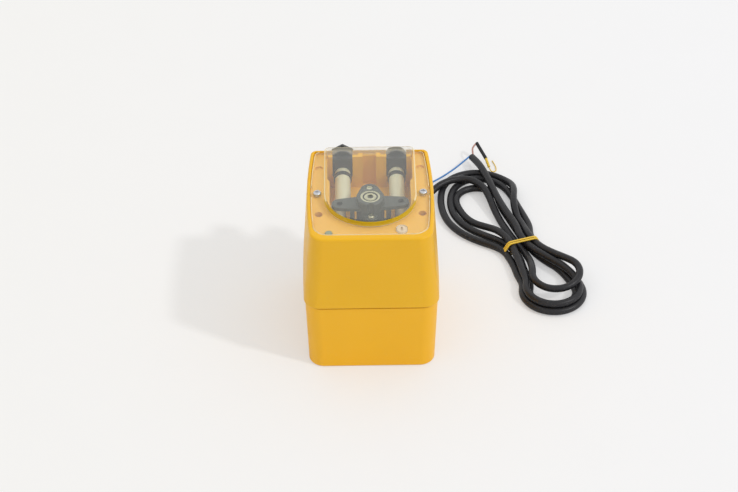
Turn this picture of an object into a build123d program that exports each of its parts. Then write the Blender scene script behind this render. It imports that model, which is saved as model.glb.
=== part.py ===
"""Peristaltic hose dosing pump with a two-roller rotor under a clear cover, in millimetres.

The pump lies on its wall face. z = 0 is that face, +Z points out through the clear cover and
+Y points at the end wall that carries the hose outlets and the cable. x = 0 is the middle.
Each function makes one piece or one group of like fasteners, and each becomes one node.
"""
import os
from math import acos, cos, degrees, pi, radians, sin, sqrt, tan
from build123d import *

# ---------------------------------------------------------------- casing
BODY_HEIGHT = 133.7          # wall face to the top of the rim
SEAM_HEIGHT = 63.4           # wall face to the top of the rear box
GASKET_THICKNESS = 0.8
CASE_WALL = 2.8
BACK_WALL = 3.0
TOP_LENGTH = 120.0           # rim of the front housing
TOP_WIDTH = 103.0
TOP_BULGE = 3.3              # how far the sides bow out at mid-length
TOP_NEAR_RADIUS = 12.0
TOP_FAR_RADIUS = 5.0
LIP_LENGTH = 127.0           # lower lip of the front housing
LIP_WIDTH = 112.4
LIP_BULGE = 1.6
LIP_NEAR_RADIUS = 13.0
LIP_FAR_RADIUS = 8.0
LIP_ROUNDING = 1.4
RIM_ROUNDING = 2.0
SEAM_STEP = 1.2              # the front housing overhangs the rear box by this much
BACK_LENGTH = 122.0          # wall face of the rear box
BACK_WIDTH = 105.4
BACK_BULGE = 1.0
BACK_ROUNDING = 1.2
TONGUE_THICKNESS = 1.6
TONGUE_HEIGHT = 3.5
SIDE_NOTCH_RADIUS = 0.8

# ---------------------------------------------------------------- clear cover
SEAT_DEPTH = 3.0             # rim to the seat of the cover
SEAT_RIM_SIDE = 2.6          # rim beside the cover
SEAT_RIM_NEAR = 5.5
SEAT_RIM_FAR = 2.4
SEAT_RADIUS = 13.0
DECK_THICKNESS = 3.0
COVER_THICKNESS = 2.0
COVER_GAP = 0.3              # between the cover's edge and the rim
DOME_RISE = 5.6              # above the flat of the cover
DOME_RADIUS = 37.5
DOME_WALL = 1.9
DOME_CROWN = 2.2
DOME_FAR_RIM = 1.7           # dome to the housing's far edge
DOME_CORNER = 5.0
DOME_ROUNDING = 1.5
STEADY_PIN_RADIUS = 2.45

# ---------------------------------------------------------------- hose and track
ROTOR_Y = -5.5               # rotor axis, from mid-length
TRACK_RADIUS = 33.0
TRACK_STRAIGHT = 25.5        # straight track sides beyond the rotor axis
POCKET_HALF_WIDTH = 35.0     # the chamber widens towards the outlets
POCKET_FLARE = 4.0
TUB_WALL = 3.0
TUB_FLOOR = 3.0
HOSE_RADIUS = 6.5
HOSE_BORE_RADIUS = 5.15
HOSE_X = 22.4
HOSE_SQUEEZED = 2.7          # thickness under a roller
HOSE_FLAT_HALF = 9.5         # half height under a roller
HOSE_LEG_EASING = 14.0       # roller to the straight leg, along the track
HOSE_BEND_EASING = 17.0      # roller to the round bend, along the track
HOSE_BEND_STEPS = 8
TRACK_GAP = 0.05             # hose to track
# share of the way back to round at two stations beside a roller, with their distances
HOSE_EASING = [(1.7, 0.0, 0.0), (3.4, 0.06, 0.09), (6.5, 0.30, 0.32)]
CLAMP_LENGTH = 3.6
CLAMP_THICKNESS = 1.0
CLAMP_FROM_END = 5.6

# ---------------------------------------------------------------- rotor
ROTOR_REST_ANGLE = 2.5
HUB_ABOVE_SEAT = 3.8
HUB_RADIUS = 11.3
HUB_FAR_REACH = 17.3
EAR_RADIUS = 4.8
EAR_DROP = 11.7              # hub top to the near ear
SCREW_OFFSET = 12.0          # rotor screws, from the axis
ARM_DROP = 6.1               # hub top to the arms
ARM_THICKNESS = 3.0
ARM_ROOT_RADIUS = 9.25
ARM_TIP_RADIUS = 6.0
ARM_GAP = 19.8               # between upper and lower arms
WEB_INNER = 13.2
WEB_OUTER = 16.6
WEB_HALF_LENGTH = 6.2
ROLLER_OFFSET = 25.0         # roller axis, from the rotor axis
ROLLER_RADIUS = 4.9
ROLLER_END_GAP = 0.2
ROLLER_PIN_RADIUS = 2.5
ROLLER_PIN_RECESS = 0.5
ROTOR_FLOOR_GAP = 0.8
RUNNING_GAP = 0.05           # radial clearance of every running fit
BEARING_RADIUS = 8.0
BEARING_BORE = 2.5
BEARING_WIDTH = 5.0
BEARING_RECESS = 0.25
INNER_RING = 1.7
OUTER_RING = 1.7
SHIELD_THICKNESS = 0.5
SHAFT_RADIUS = 4.0
SHAFT_FLAT = 0.8
SHAFT_BELOW_BEARING = 2.5

# ---------------------------------------------------------------- screws
CASE_SCREW_X = 41.7          # four screws that join front housing and rear box
CASE_SCREW_Y_NEAR = -23.6
CASE_SCREW_Y_FAR = 38.0
CASE_SCREW_RADIUS = 2.0
WELL_RADIUS = 3.25
WELL_WALL = 1.8
WELL_FLOOR = 8.0             # above the seam
CASE_SCREW_GRIP = 16.0
COVER_SCREW_EDGE = 8.5       # cover screws, from the widest point of the rim
COVER_SCREW_Y = 1.0
COVER_SCREW_RADIUS = 1.7
COVER_SCREW_HEAD = 3.3
COVER_SCREW_LENGTH = 12.0
ROTOR_SCREW_RADIUS = 1.5
ROTOR_SCREW_HEAD = 2.65
SCREW_CLEARANCE = 0.25

# ---------------------------------------------------------------- hose outlets
CONNECTOR_WIDTH = 16.5
CONNECTOR_GAP = 0.1
BLOCK_THICKNESS = 5.6        # wall block that holds the connectors, inside the dome
CONNECTOR_SET_IN = 0.7
OUTLET_BLOCK_TOP = 2.8       # above the seat
CONNECTOR_TOP = 0.2          # above the seat
SHOULDER_TOP = 4.1           # above the seat
EAR_HALF_WIDTH = 13.0
EAR_LENGTH = 3.0
EAR_ABOVE_AXIS = 8.0
EAR_BELOW_AXIS = 6.0
CHANNEL_WIDTH = 11.0
BARB_LENGTH = 11.0
CONNECTOR_BORE = 3.5
THREAD_RADIUS = 7.6
THREAD_LENGTH = 7.0
NIPPLE_RADIUS = 4.0
NIPPLE_LENGTH = 7.4
NUT_FLATS = 19.0
NUT_LENGTH = 14.0
NUT_WALL = 5.0
TUBE_HOLE_RADIUS = 6.1       # the user's 12 mm tube
NUT_GAP = 0.4

# ---------------------------------------------------------------- gear motor
PLATE_THICKNESS = 3.0
PLATE_GAP = 22.0             # between the two gearbox plates
PLATE_HALF_WIDTH = 34.0
PLATE_NEAR_Y = -41.0
PLATE_FAR_Y = 54.0
PLATE_RADIUS = 6.0
PILLAR_X = 29.0
PILLAR_Y_NEAR = -36.0
PILLAR_Y_FAR = 49.0
PILLAR_RADIUS = 3.5
PILLAR_BORE = 1.6
BUSH_RADIUS = 5.6
SEAL_RADIUS = 7.5
OUTPUT_MODULE = 0.9
OUTPUT_TEETH = 64
OUTPUT_PINION_TEETH = 16
MOTOR_MODULE = 0.8
MOTOR_WHEEL_TEETH = 50
MOTOR_PINION_TEETH = 14
PRESSURE_ANGLE = 20.0
GEAR_BACKLASH = 0.16
GEAR_SPREAD = 0.08           # added to each centre distance
GEAR_WIDTH = 5.0
PINION_WIDTH = 7.5
ARBOR_RADIUS = 2.5
MOTOR_RADIUS = 18.5
MOTOR_LENGTH = 45.0
MOTOR_SHAFT_RADIUS = 1.5
MOTOR_BOSS_RADIUS = 4.0
MOTOR_SCREW_X = 12.5
ARMATURE_RADIUS = 12.6
ARMATURE_LENGTH = 26.0
ARMATURE_GAP = 0.6           # core to the magnets' bore
ARMATURE_SLOTS = 5
ARMATURE_SLOT_RADIUS = 2.9   # wire space of one slot
ARMATURE_SLOT_AT = 8.6
ARMATURE_MOUTH = 1.6         # width of a slot's mouth

# ---------------------------------------------------------------- controls
LAMP_X = -33.7
LAMP_FROM_EDGE = 11.5        # lamp axis, from the near edge of the rim
LAMP_RADIUS = 2.9
TRIMMER_X = 24.5
TRIMMER_FROM_EDGE = 14.7
TRIMMER_CAP_RADIUS = 4.35
TRIMMER_SLOT = 1.2
TRIMMER_BODY = 9.5
TRIMMER_TURN = 135.0         # the cap turns this far each way
BOARD_DROP = 10.0            # deck underside to the circuit board
BOARD_THICKNESS = 1.6
BOARD_HALF_WIDTH = 40.0
BOARD_FROM_EDGE = 5.0
BOARD_DEPTH = 17.0
BOARD_SCREW_X = 12.0
BOARD_SCREW_RADIUS = 1.25
HOLE_GAP = 0.25

# ---------------------------------------------------------------- wall holes and cable
WALL_HOLE_RADIUS = 2.25
WALL_SPACING_X = 70.0
WALL_SPACING_Y = 80.0
GLAND_X = 25.0
GLAND_Z = 22.0
GLAND_THREAD = 6.0
GLAND_FLATS = 17.0
GLAND_FLANGE = 4.0
GLAND_NUT_LENGTH = 11.0
GLAND_PAD_RADIUS = 11.0
GLAND_PAD_HEIGHT = 1.5
CABLE_RADIUS = 3.2
CORE_RADIUS = 0.8
# the free stretch of the cable from the gland's mouth; the first point is worked out
CABLE_BENDS = [(25.5, 97.0, 20.0), (28.5, 116.0, 12.5), (34.5, 136.0, 5.2), (46.0, 155.0, 3.3)]
CABLE_INTO_HANK = (63.0, 168.0, 3.3)
HANK_LIFT = 1.0
HANK_HEIGHT = 17.0
HANK_OUTLINE = [(65.1, 165.1), (60.9, 170.9), (66.0, 184.0), (80.0, 197.0), (95.0, 202.0),
                (109.0, 200.0), (122.0, 190.0), (134.0, 160.0), (148.0, 118.0), (154.5, 92.0),
                (172.0, 62.0), (184.0, 34.0), (184.0, 14.0), (174.0, 2.0), (160.0, -2.0),
                (146.0, 10.0), (130.0, 36.0), (118.5, 79.0), (88.0, 94.0), (68.0, 118.0),
                (62.0, 140.0)]
BAND_FROM = (117.0, 80.0)    # across the hank, outer edge to outer edge
BAND_TO = (156.0, 93.0)
BAND_WIDTH = 2.4
BAND_THICKNESS = 0.8
CUT_END_FROM = (102.0, 201.0, 9.0)
CUT_END_TO = (97.5, 219.0, 8.0)
BLUE_ROUTE = [(95.8, 219.0, 8.4), (86.0, 210.0, 5.0), (73.0, 199.0, 2.2), (59.0, 188.0, 1.2),
              (46.0, 179.0, 1.0)]
BROWN_ROUTE = [(98.6, 220.4, 8.4), (98.2, 228.0, 11.0), (102.5, 232.5, 13.5)]
SLEEVE_ROUTE = [(102.5, 232.5, 13.5), (110.5, 216.5, 7.0)]
SLEEVE_RADIUS = 1.6
FERRULE_END = (113.0, 208.0, 3.4)
FERRULE_RADIUS = 1.3

# ---------------------------------------------------------------- levels and places
SEAT_Z = BODY_HEIGHT - SEAT_DEPTH
DECK_UNDER = SEAT_Z - DECK_THICKNESS
LIP_Z = SEAM_HEIGHT + GASKET_THICKNESS
COVER_TOP = SEAT_Z + COVER_THICKNESS
DOME_TOP = COVER_TOP + DOME_RISE
DOME_CEILING = DOME_TOP - DOME_CROWN
HUB_TOP = SEAT_Z + HUB_ABOVE_SEAT
ARM_TOP = HUB_TOP - ARM_DROP
ARM_UNDER = ARM_TOP - ARM_THICKNESS
LOWER_ARM_TOP = ARM_UNDER - ARM_GAP
LOWER_ARM_UNDER = LOWER_ARM_TOP - ARM_THICKNESS
HOSE_Z = ARM_UNDER - ARM_GAP / 2
CHAMBER_FLOOR = LOWER_ARM_UNDER - ROTOR_FLOOR_GAP
TUB_UNDER = CHAMBER_FLOOR - TUB_FLOOR
FRONT_PLATE_Z = TUB_UNDER - PLATE_THICKNESS
BACK_PLATE_TOP = FRONT_PLATE_Z - PLATE_GAP
BACK_PLATE_Z = BACK_PLATE_TOP - PLATE_THICKNESS
MOTOR_BOTTOM = BACK_PLATE_Z - MOTOR_LENGTH
FAR_EDGE = TOP_LENGTH / 2
NEAR_EDGE = -FAR_EDGE
DOME_FAR = FAR_EDGE - DOME_FAR_RIM
DOME_INSIDE_FAR = DOME_FAR - DOME_WALL
BLOCK_FAR = DOME_INSIDE_FAR - 1.0
BLOCK_NEAR = BLOCK_FAR - BLOCK_THICKNESS
CONNECTOR_FRONT = BLOCK_NEAR + CONNECTOR_SET_IN
HOSE_BEND_ANGLE = degrees(HOSE_BEND_EASING / (TRACK_RADIUS - HOSE_RADIUS))
HOSE_FLAT_RADIUS = TRACK_RADIUS - HOSE_SQUEEZED / 2 - TRACK_GAP
COVER_SCREW_X = TOP_WIDTH / 2 - COVER_SCREW_EDGE
LAMP_Y = NEAR_EDGE + LAMP_FROM_EDGE
TRIMMER_Y = NEAR_EDGE + TRIMMER_FROM_EDGE
BOARD_TOP = DECK_UNDER - BOARD_DROP
BOARD_NEAR = NEAR_EDGE + BOARD_FROM_EDGE
INTERMEDIATE_Y = ROTOR_Y + OUTPUT_MODULE * (OUTPUT_TEETH + OUTPUT_PINION_TEETH) / 2 + GEAR_SPREAD
MOTOR_Y = INTERMEDIATE_Y - MOTOR_MODULE * (MOTOR_WHEEL_TEETH + MOTOR_PINION_TEETH) / 2 - GEAR_SPREAD
OUTPUT_GEAR_Z = FRONT_PLATE_Z - GEAR_WIDTH - 2.0
MOTOR_GEAR_Z = BACK_PLATE_TOP + 2.2
ARMATURE_LOW = MOTOR_BOTTOM + 10
SIDES = (-1, 1)
CASE_SCREWS = [(side * CASE_SCREW_X, y) for side in SIDES for y in (CASE_SCREW_Y_NEAR, CASE_SCREW_Y_FAR)]
PILLARS = [(side * PILLAR_X, y) for side in SIDES for y in (PILLAR_Y_NEAR, PILLAR_Y_FAR)]
AXIS_AT_ROTOR = Pos(0, ROTOR_Y, 0) * Rot(0, 0, ROTOR_REST_ANGLE)


# ================================================================ helpers
def rod(radius, z0, z1, x=0.0, y=0.0):
    """Upright cylinder between two levels."""
    return Pos(x, y, z0) * Cylinder(radius, z1 - z0, align=(Align.CENTER, Align.CENTER, Align.MIN))


def lying_rod(radius, y0, y1, x, z):
    """Cylinder along Y between two stations."""
    return Pos(x, (y0 + y1) / 2, z) * Rot(90, 0, 0) * Cylinder(radius, y1 - y0)


def block(x0, x1, y0, y1, z0, z1):
    """Box between two corners."""
    return Pos((x0 + x1) / 2, (y0 + y1) / 2, (z0 + z1) / 2) * Box(x1 - x0, y1 - y0, z1 - z0)


def prism(face, z0, z1):
    """Upright extrusion of a flat outline."""
    return Pos(0, 0, z0) * extrude(face, z1 - z0)


def lying_hexagon(flats, y0, y1, x, z, turn):
    """Hexagonal bar along Y; turn 0 has a corner upwards."""
    outline = Rot(0, 0, turn) * RegularPolygon(flats / 2, 6, major_radius=False, rotation=90)
    return Pos(x, y1, z) * Rot(90, 0, 0) * extrude(outline, y1 - y0)


def tapered_plan(root_radius, root_at, tip_radius, tip_at):
    """Outline that wraps two circles on the Y axis, like a link."""
    return make_hull((Pos(0, root_at) * Circle(root_radius)).edges() + (Pos(0, tip_at) * Circle(tip_radius)).edges())


def barrel_outline(length, width, bulge, near_radius, far_radius):
    """Rectangle with rounded corners whose two long sides bow outwards."""
    half_length = length / 2
    half_end = width / 2 - bulge
    near_left = (-half_end, -half_length)
    near_right = (half_end, -half_length)
    far_right = (half_end, half_length)
    far_left = (-half_end, half_length)
    face = make_face([
        Line(near_left, near_right),
        ThreePointArc(near_right, (width / 2, 0), far_right),
        Line(far_right, far_left),
        ThreePointArc(far_left, (-width / 2, 0), near_left),
    ])
    face = fillet(face.vertices().group_by(Axis.Y)[0], near_radius)
    return fillet(face.vertices().group_by(Axis.Y)[-1], far_radius)


def front_outline(z):
    """Outline of the front housing at a level, between lip and rim."""
    share = (z - LIP_Z) / (BODY_HEIGHT - LIP_Z)
    values = [low + (high - low) * share for low, high in (
        (LIP_LENGTH, TOP_LENGTH), (LIP_WIDTH, TOP_WIDTH), (LIP_BULGE, TOP_BULGE),
        (LIP_NEAR_RADIUS, TOP_NEAR_RADIUS), (LIP_FAR_RADIUS, TOP_FAR_RADIUS))]
    return barrel_outline(*values)


def rear_outline(z):
    """Outline of the rear box at a level, between wall face and seam."""
    share = z / SEAM_HEIGHT
    values = [low + (high - low) * share for low, high in (
        (BACK_LENGTH, LIP_LENGTH - 2 * SEAM_STEP), (BACK_WIDTH, LIP_WIDTH - 2 * SEAM_STEP),
        (BACK_BULGE, LIP_BULGE), (LIP_NEAR_RADIUS, LIP_NEAR_RADIUS), (LIP_FAR_RADIUS, LIP_FAR_RADIUS))]
    return barrel_outline(*values)


def drafted(outline, z0, z1, inset=0.0):
    """Solid between two levels of a drafted outline, set in by a wall."""
    faces = []
    for z in (z0, z1):
        face = outline(z)
        if inset:
            face = offset(face, -inset)
        faces.append(Pos(0, 0, z) * face)
    return loft(faces, ruled=True)


def seat_outline(gap=0.0):
    """Recess of the clear cover inside the rim."""
    width = TOP_WIDTH - 2 * SEAT_RIM_SIDE - 2 * gap
    near = NEAR_EDGE + SEAT_RIM_NEAR + gap
    far = FAR_EDGE - SEAT_RIM_FAR - gap
    face = barrel_outline(far - near, width, TOP_BULGE, SEAT_RADIUS, TOP_FAR_RADIUS - SEAT_RIM_FAR + 0.5)
    return Pos(0, (near + far) / 2) * face


def dome_outline(gap=0.0):
    """U-shaped plan of the raised dome, round the rotor and straight to the far wall."""
    radius = DOME_RADIUS + gap
    far = DOME_FAR + gap
    face = make_face([
        ThreePointArc((-radius, ROTOR_Y), (0, ROTOR_Y - radius), (radius, ROTOR_Y)),
        Line((radius, ROTOR_Y), (radius, far)),
        Line((radius, far), (-radius, far)),
        Line((-radius, far), (-radius, ROTOR_Y)),
    ])
    return fillet(face.vertices().group_by(Axis.Y)[-1], DOME_CORNER + gap)


def chamber_outline():
    """Plan of the pump chamber: round track, straight sides, wider pocket at the outlets."""
    straight_end = ROTOR_Y + TRACK_STRAIGHT
    flare_end = straight_end + POCKET_FLARE
    right = [(TRACK_RADIUS, ROTOR_Y), (TRACK_RADIUS, straight_end), (POCKET_HALF_WIDTH, flare_end),
             (POCKET_HALF_WIDTH, BLOCK_NEAR)]
    left = [(-x, y) for x, y in reversed(right)]
    return make_face([
        ThreePointArc(left[-1], (0, ROTOR_Y - TRACK_RADIUS), right[0]),
        Polyline(*right, *left),
    ])


def outlet_slot(radius, y0, y1, x, top):
    """Slot with a round bottom on the hose axis, open to a level above."""
    return lying_rod(radius, y0, y1, x, HOSE_Z) + block(x - radius, x + radius, y0, y1, HOSE_Z, top)


def gear_outline(module, teeth, tooth_at):
    """Involute spur gear with a tooth centred on the given direction."""
    pitch = module * teeth / 2
    base = pitch * cos(radians(PRESSURE_ANGLE))
    outer = pitch + 0.9 * module
    root = pitch - 1.2 * module
    start = max(base, root + 0.1 * module)

    def involute(radius):
        angle = acos(min(1.0, base / radius))
        return tan(angle) - angle

    at_pitch = pi / (2 * teeth) - GEAR_BACKLASH / (4 * pitch)
    middle = (start + outer) / 2
    points = []
    for tooth in range(teeth):
        centre = radians(tooth_at) + 2 * pi * tooth / teeth
        flank = [(root, at_pitch + involute(pitch) + 0.02 / teeth)]
        for radius in (start, middle, outer):
            flank.append((radius, at_pitch + involute(pitch) - involute(radius)))
        corners = [(radius, centre - half) for radius, half in flank]
        corners += [(radius, centre + half) for radius, half in reversed(flank)]
        points += [(radius * cos(angle), radius * sin(angle)) for radius, angle in corners]
    return make_face(Polyline(*points, close=True))


def cord_tube(points, radius, name):
    """Plain tube along straight runs joined by arcs as large as the runs allow."""
    vectors = [Vector(*point) for point in points]
    runs = [(b - a) for a, b in zip(vectors, vectors[1:])]
    radii = []
    for before, after in zip(runs, runs[1:]):
        half_turn = radians(before.get_angle(after)) / 2
        radii.append(0.45 * min(before.length, after.length) / tan(half_turn))
    path = FilletPolyline(*vectors, radius=radii) if radii else Line(*vectors)
    start = Plane(origin=vectors[0], z_dir=runs[0])
    tube = sweep(start * Circle(radius), path=path)
    print(name, "length", round(path.length, 1), "radii", [round(value, 1) for value in radii],
          "volume share", round(tube.volume / (pi * radius ** 2 * path.length), 4))
    return tube


# ================================================================ casing
def rear_box():
    """Wall side of the casing: drafted tray with screw posts, locating tongue and cable pad."""
    outer = drafted(rear_outline, 0, SEAM_HEIGHT)
    outer = fillet(outer.edges().group_by(Axis.Z)[0], BACK_ROUNDING)
    pad_y = gland_face()
    pad = lying_rod(GLAND_PAD_RADIUS, pad_y - GLAND_PAD_HEIGHT - CASE_WALL, pad_y, GLAND_X, GLAND_Z)
    box = outer + pad
    box -= drafted(rear_outline, BACK_WALL, SEAM_HEIGHT, CASE_WALL)
    ring_top = SEAM_HEIGHT + TONGUE_HEIGHT
    ring = offset(rear_outline(SEAM_HEIGHT), -CASE_WALL + 0.2) - offset(rear_outline(SEAM_HEIGHT), -CASE_WALL - TONGUE_THICKNESS)
    box += prism(ring, SEAM_HEIGHT - TONGUE_HEIGHT, ring_top)
    for x, y in CASE_SCREWS:
        box += rod(WELL_RADIUS + WELL_WALL, BACK_WALL - 1, SEAM_HEIGHT, x, y)
        box -= rod(CASE_SCREW_RADIUS, SEAM_HEIGHT - CASE_SCREW_GRIP - 2, SEAM_HEIGHT + 1, x, y)
    for sx in SIDES:
        for sy in SIDES:
            box -= rod(WALL_HOLE_RADIUS, -1, BACK_WALL + 1, sx * WALL_SPACING_X / 2, sy * WALL_SPACING_Y / 2)
    box -= lying_rod(GLAND_THREAD + 0.1, pad_y - 12, pad_y + 1, GLAND_X, GLAND_Z)
    return box


def gland_face():
    """Y of the flat pad that the cable gland sits on."""
    half_back = BACK_LENGTH / 2
    half_seam = LIP_LENGTH / 2 - SEAM_STEP
    return half_back + (half_seam - half_back) * GLAND_Z / SEAM_HEIGHT + GLAND_PAD_HEIGHT


def seam_gasket():
    """Flat rubber ring between rear box and front housing."""
    outline = rear_outline(SEAM_HEIGHT)
    ring = offset(outline, -0.7) - offset(outline, -CASE_WALL + 0.3)
    return prism(ring, SEAM_HEIGHT, LIP_Z)


def front_housing():
    """Front shell with the pump chamber, its deck, screw wells and slots of the outlets."""
    outer = drafted(front_outline, LIP_Z, BODY_HEIGHT)
    outer = fillet(outer.edges().group_by(Axis.Z)[0], LIP_ROUNDING)
    rim_edges = outer.edges().group_by(Axis.Z)[-1].sort_by(Axis.Y)[:-1]
    outer = fillet(rim_edges, RIM_ROUNDING)
    shell = outer - drafted(front_outline, LIP_Z - 0.0, DECK_UNDER, CASE_WALL)
    tub_face = offset(chamber_outline(), TUB_WALL) + Pos(0, (BLOCK_NEAR + FAR_EDGE) / 2) * Rectangle(
        2 * (POCKET_HALF_WIDTH + TUB_WALL), FAR_EDGE - BLOCK_NEAR + 2 * TUB_WALL)
    within = drafted(front_outline, TUB_UNDER, SEAT_Z, CASE_WALL / 2)
    shell += prism(tub_face, TUB_UNDER, DECK_UNDER + 1) & within
    for x, y in CASE_SCREWS:
        shell += rod(WELL_RADIUS + WELL_WALL, LIP_Z, DECK_UNDER + 1, x, y)
    shell += board_posts() + cover_screw_posts()
    shell -= prism(seat_outline(), SEAT_Z, BODY_HEIGHT + 1)
    shell -= prism(dome_outline(COVER_GAP), SEAT_Z, BODY_HEIGHT + 1)
    block_top = SEAT_Z + OUTLET_BLOCK_TOP
    half = POCKET_HALF_WIDTH - 0.6
    shell += block(-half, half, BLOCK_NEAR, BLOCK_FAR, SEAT_Z - 1, block_top)
    shell -= prism(chamber_outline(), CHAMBER_FLOOR, BODY_HEIGHT + 1)
    half_channel = CHANNEL_WIDTH / 2
    shell -= block(-half_channel, half_channel, BLOCK_NEAR - 1, BLOCK_FAR, CHAMBER_FLOOR, block_top + 1)
    for side in SIDES:
        x = side * HOSE_X
        slot = CONNECTOR_WIDTH / 2 + CONNECTOR_GAP
        shell -= outlet_slot(slot, BLOCK_NEAR - 1, FAR_EDGE + 6, x, BODY_HEIGHT + 1)
        ear_far = BLOCK_FAR
        ear = EAR_HALF_WIDTH + CONNECTOR_GAP
        shell -= block(x - ear, x + ear, ear_far - EAR_LENGTH - 2 * CONNECTOR_GAP, ear_far,
                       HOSE_Z - EAR_BELOW_AXIS - CONNECTOR_GAP, block_top + 1)
        shell -= Pos(side * TOP_WIDTH / 2, COVER_SCREW_Y) * rod(SIDE_NOTCH_RADIUS, SEAT_Z, BODY_HEIGHT + 1)
        shell -= rod(COVER_SCREW_RADIUS, SEAT_Z - COVER_SCREW_LENGTH, SEAT_Z + 1, side * COVER_SCREW_X, COVER_SCREW_Y)
    for x, y in CASE_SCREWS:
        shell -= rod(WELL_RADIUS, LIP_Z + WELL_FLOOR, SEAT_Z + 1, x, y)
        shell -= rod(CASE_SCREW_RADIUS + SCREW_CLEARANCE, LIP_Z - 1, SEAT_Z, x, y)
    shell -= rod(LAMP_RADIUS + HOLE_GAP, DECK_UNDER - 1, SEAT_Z + 1, LAMP_X, LAMP_Y)
    shell -= rod(TRIMMER_CAP_RADIUS + HOLE_GAP, DECK_UNDER - 1, SEAT_Z + 1, TRIMMER_X, TRIMMER_Y)
    shell -= rod(SHAFT_RADIUS + 0.6, TUB_UNDER - 1, CHAMBER_FLOOR + 1, 0, ROTOR_Y)
    shell -= rod(SEAL_RADIUS, TUB_UNDER - 1, CHAMBER_FLOOR - 1, 0, ROTOR_Y)
    for x, y in PILLARS:
        shell -= rod(PILLAR_BORE, TUB_UNDER - 1, CHAMBER_FLOOR - 0.6, x, y)
    return shell


def board_posts():
    """Two posts under the deck that carry the circuit board."""
    posts = [rod(3.2, BOARD_TOP, DECK_UNDER + 1, x, board_screw_y()) for x in (-BOARD_SCREW_X, BOARD_SCREW_X)]
    holes = [rod(BOARD_SCREW_RADIUS, BOARD_TOP - 1, BOARD_TOP + 6, x, board_screw_y())
             for x in (-BOARD_SCREW_X, BOARD_SCREW_X)]
    return Part() + posts - holes


def board_screw_y():
    return BOARD_NEAR + 5.0


def cover_screw_posts():
    """Screw posts of the clear cover, joined to the side walls."""
    return Part() + [rod(COVER_SCREW_RADIUS + 2.2, SEAT_Z - COVER_SCREW_LENGTH - 1.5, DECK_UNDER + 1,
                         side * COVER_SCREW_X, COVER_SCREW_Y) for side in SIDES]


def clear_cover():
    """Clear moulding: flat flange, raised dome, pin that steadies the rotor."""
    flange = seat_outline(COVER_GAP) + dome_outline()
    dome = prism(dome_outline(), SEAT_Z, DOME_TOP)
    dome = fillet(dome.edges().group_by(Axis.Z)[-1], DOME_ROUNDING)
    cover = prism(flange, SEAT_Z, COVER_TOP) + dome
    cover -= prism(offset(dome_outline(), -DOME_WALL), SEAT_Z - 1, DOME_CEILING)
    cover += rod(STEADY_PIN_RADIUS, HUB_TOP - BEARING_RECESS - BEARING_WIDTH + 0.4, DOME_CEILING + 1, 0, ROTOR_Y)
    for side in SIDES:
        cover -= rod(COVER_SCREW_RADIUS + SCREW_CLEARANCE, SEAT_Z - 1, COVER_TOP + 1, side * COVER_SCREW_X, COVER_SCREW_Y)
        shoulder = connector_shoulder(side * HOSE_X, CONNECTOR_GAP, BLOCK_FAR - 1, FAR_EDGE + 1)
        cover -= shoulder
    cover -= rod(TRIMMER_CAP_RADIUS + HOLE_GAP, SEAT_Z - 1, COVER_TOP + 1, TRIMMER_X, TRIMMER_Y)
    return cover


def pan_head_screw(x, y, head_z, radius, head_radius, length):
    """Pan-head screw that points down; head_z is the seat of its head."""
    head_height = head_radius * 0.62
    head = rod(head_radius, head_z, head_z + head_height, x, y)
    head = fillet(head.edges().group_by(Axis.Z)[-1], head_height * 0.6)
    half_slot = head_radius * 0.55
    groove = head_radius * 0.13
    top = head_z + head_height
    head -= block(x - half_slot, x + half_slot, y - groove, y + groove, top - head_height / 2, top + 1)
    head -= block(x - groove, x + groove, y - half_slot, y + half_slot, top - head_height / 2, top + 1)
    return head + rod(radius, head_z - length, head_z, x, y)


def cover_screws():
    return Compound(children=[pan_head_screw(side * COVER_SCREW_X, COVER_SCREW_Y, COVER_TOP, COVER_SCREW_RADIUS,
                                             COVER_SCREW_HEAD, COVER_SCREW_LENGTH) for side in SIDES])


def housing_screws():
    """Long screws at the bottom of the wells, into the posts of the rear box."""
    head_z = LIP_Z + WELL_FLOOR
    length = WELL_FLOOR + GASKET_THICKNESS + CASE_SCREW_GRIP
    return Compound(children=[pan_head_screw(x, y, head_z, CASE_SCREW_RADIUS, WELL_RADIUS - 0.3, length)
                              for x, y in CASE_SCREWS])


# ================================================================ rotor
def arm_plan():
    """Both tapering arms in one outline, through the axis."""
    return make_hull((Circle(ARM_ROOT_RADIUS)).edges() + (Pos(ROLLER_OFFSET + 0.3, 0) * Circle(ARM_TIP_RADIUS)).edges()
                     + (Pos(-ROLLER_OFFSET - 0.3, 0) * Circle(ARM_TIP_RADIUS)).edges())


def hub_plan():
    """Egg-shaped hub: round at the near side, drawn out to the far screw."""
    far_radius = 7.6
    return tapered_plan(HUB_RADIUS, 0, far_radius, HUB_FAR_REACH - far_radius)


def near_ear_plan():
    return tapered_plan(HUB_RADIUS - 1.5, 0, EAR_RADIUS, -SCREW_OFFSET)


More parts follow.
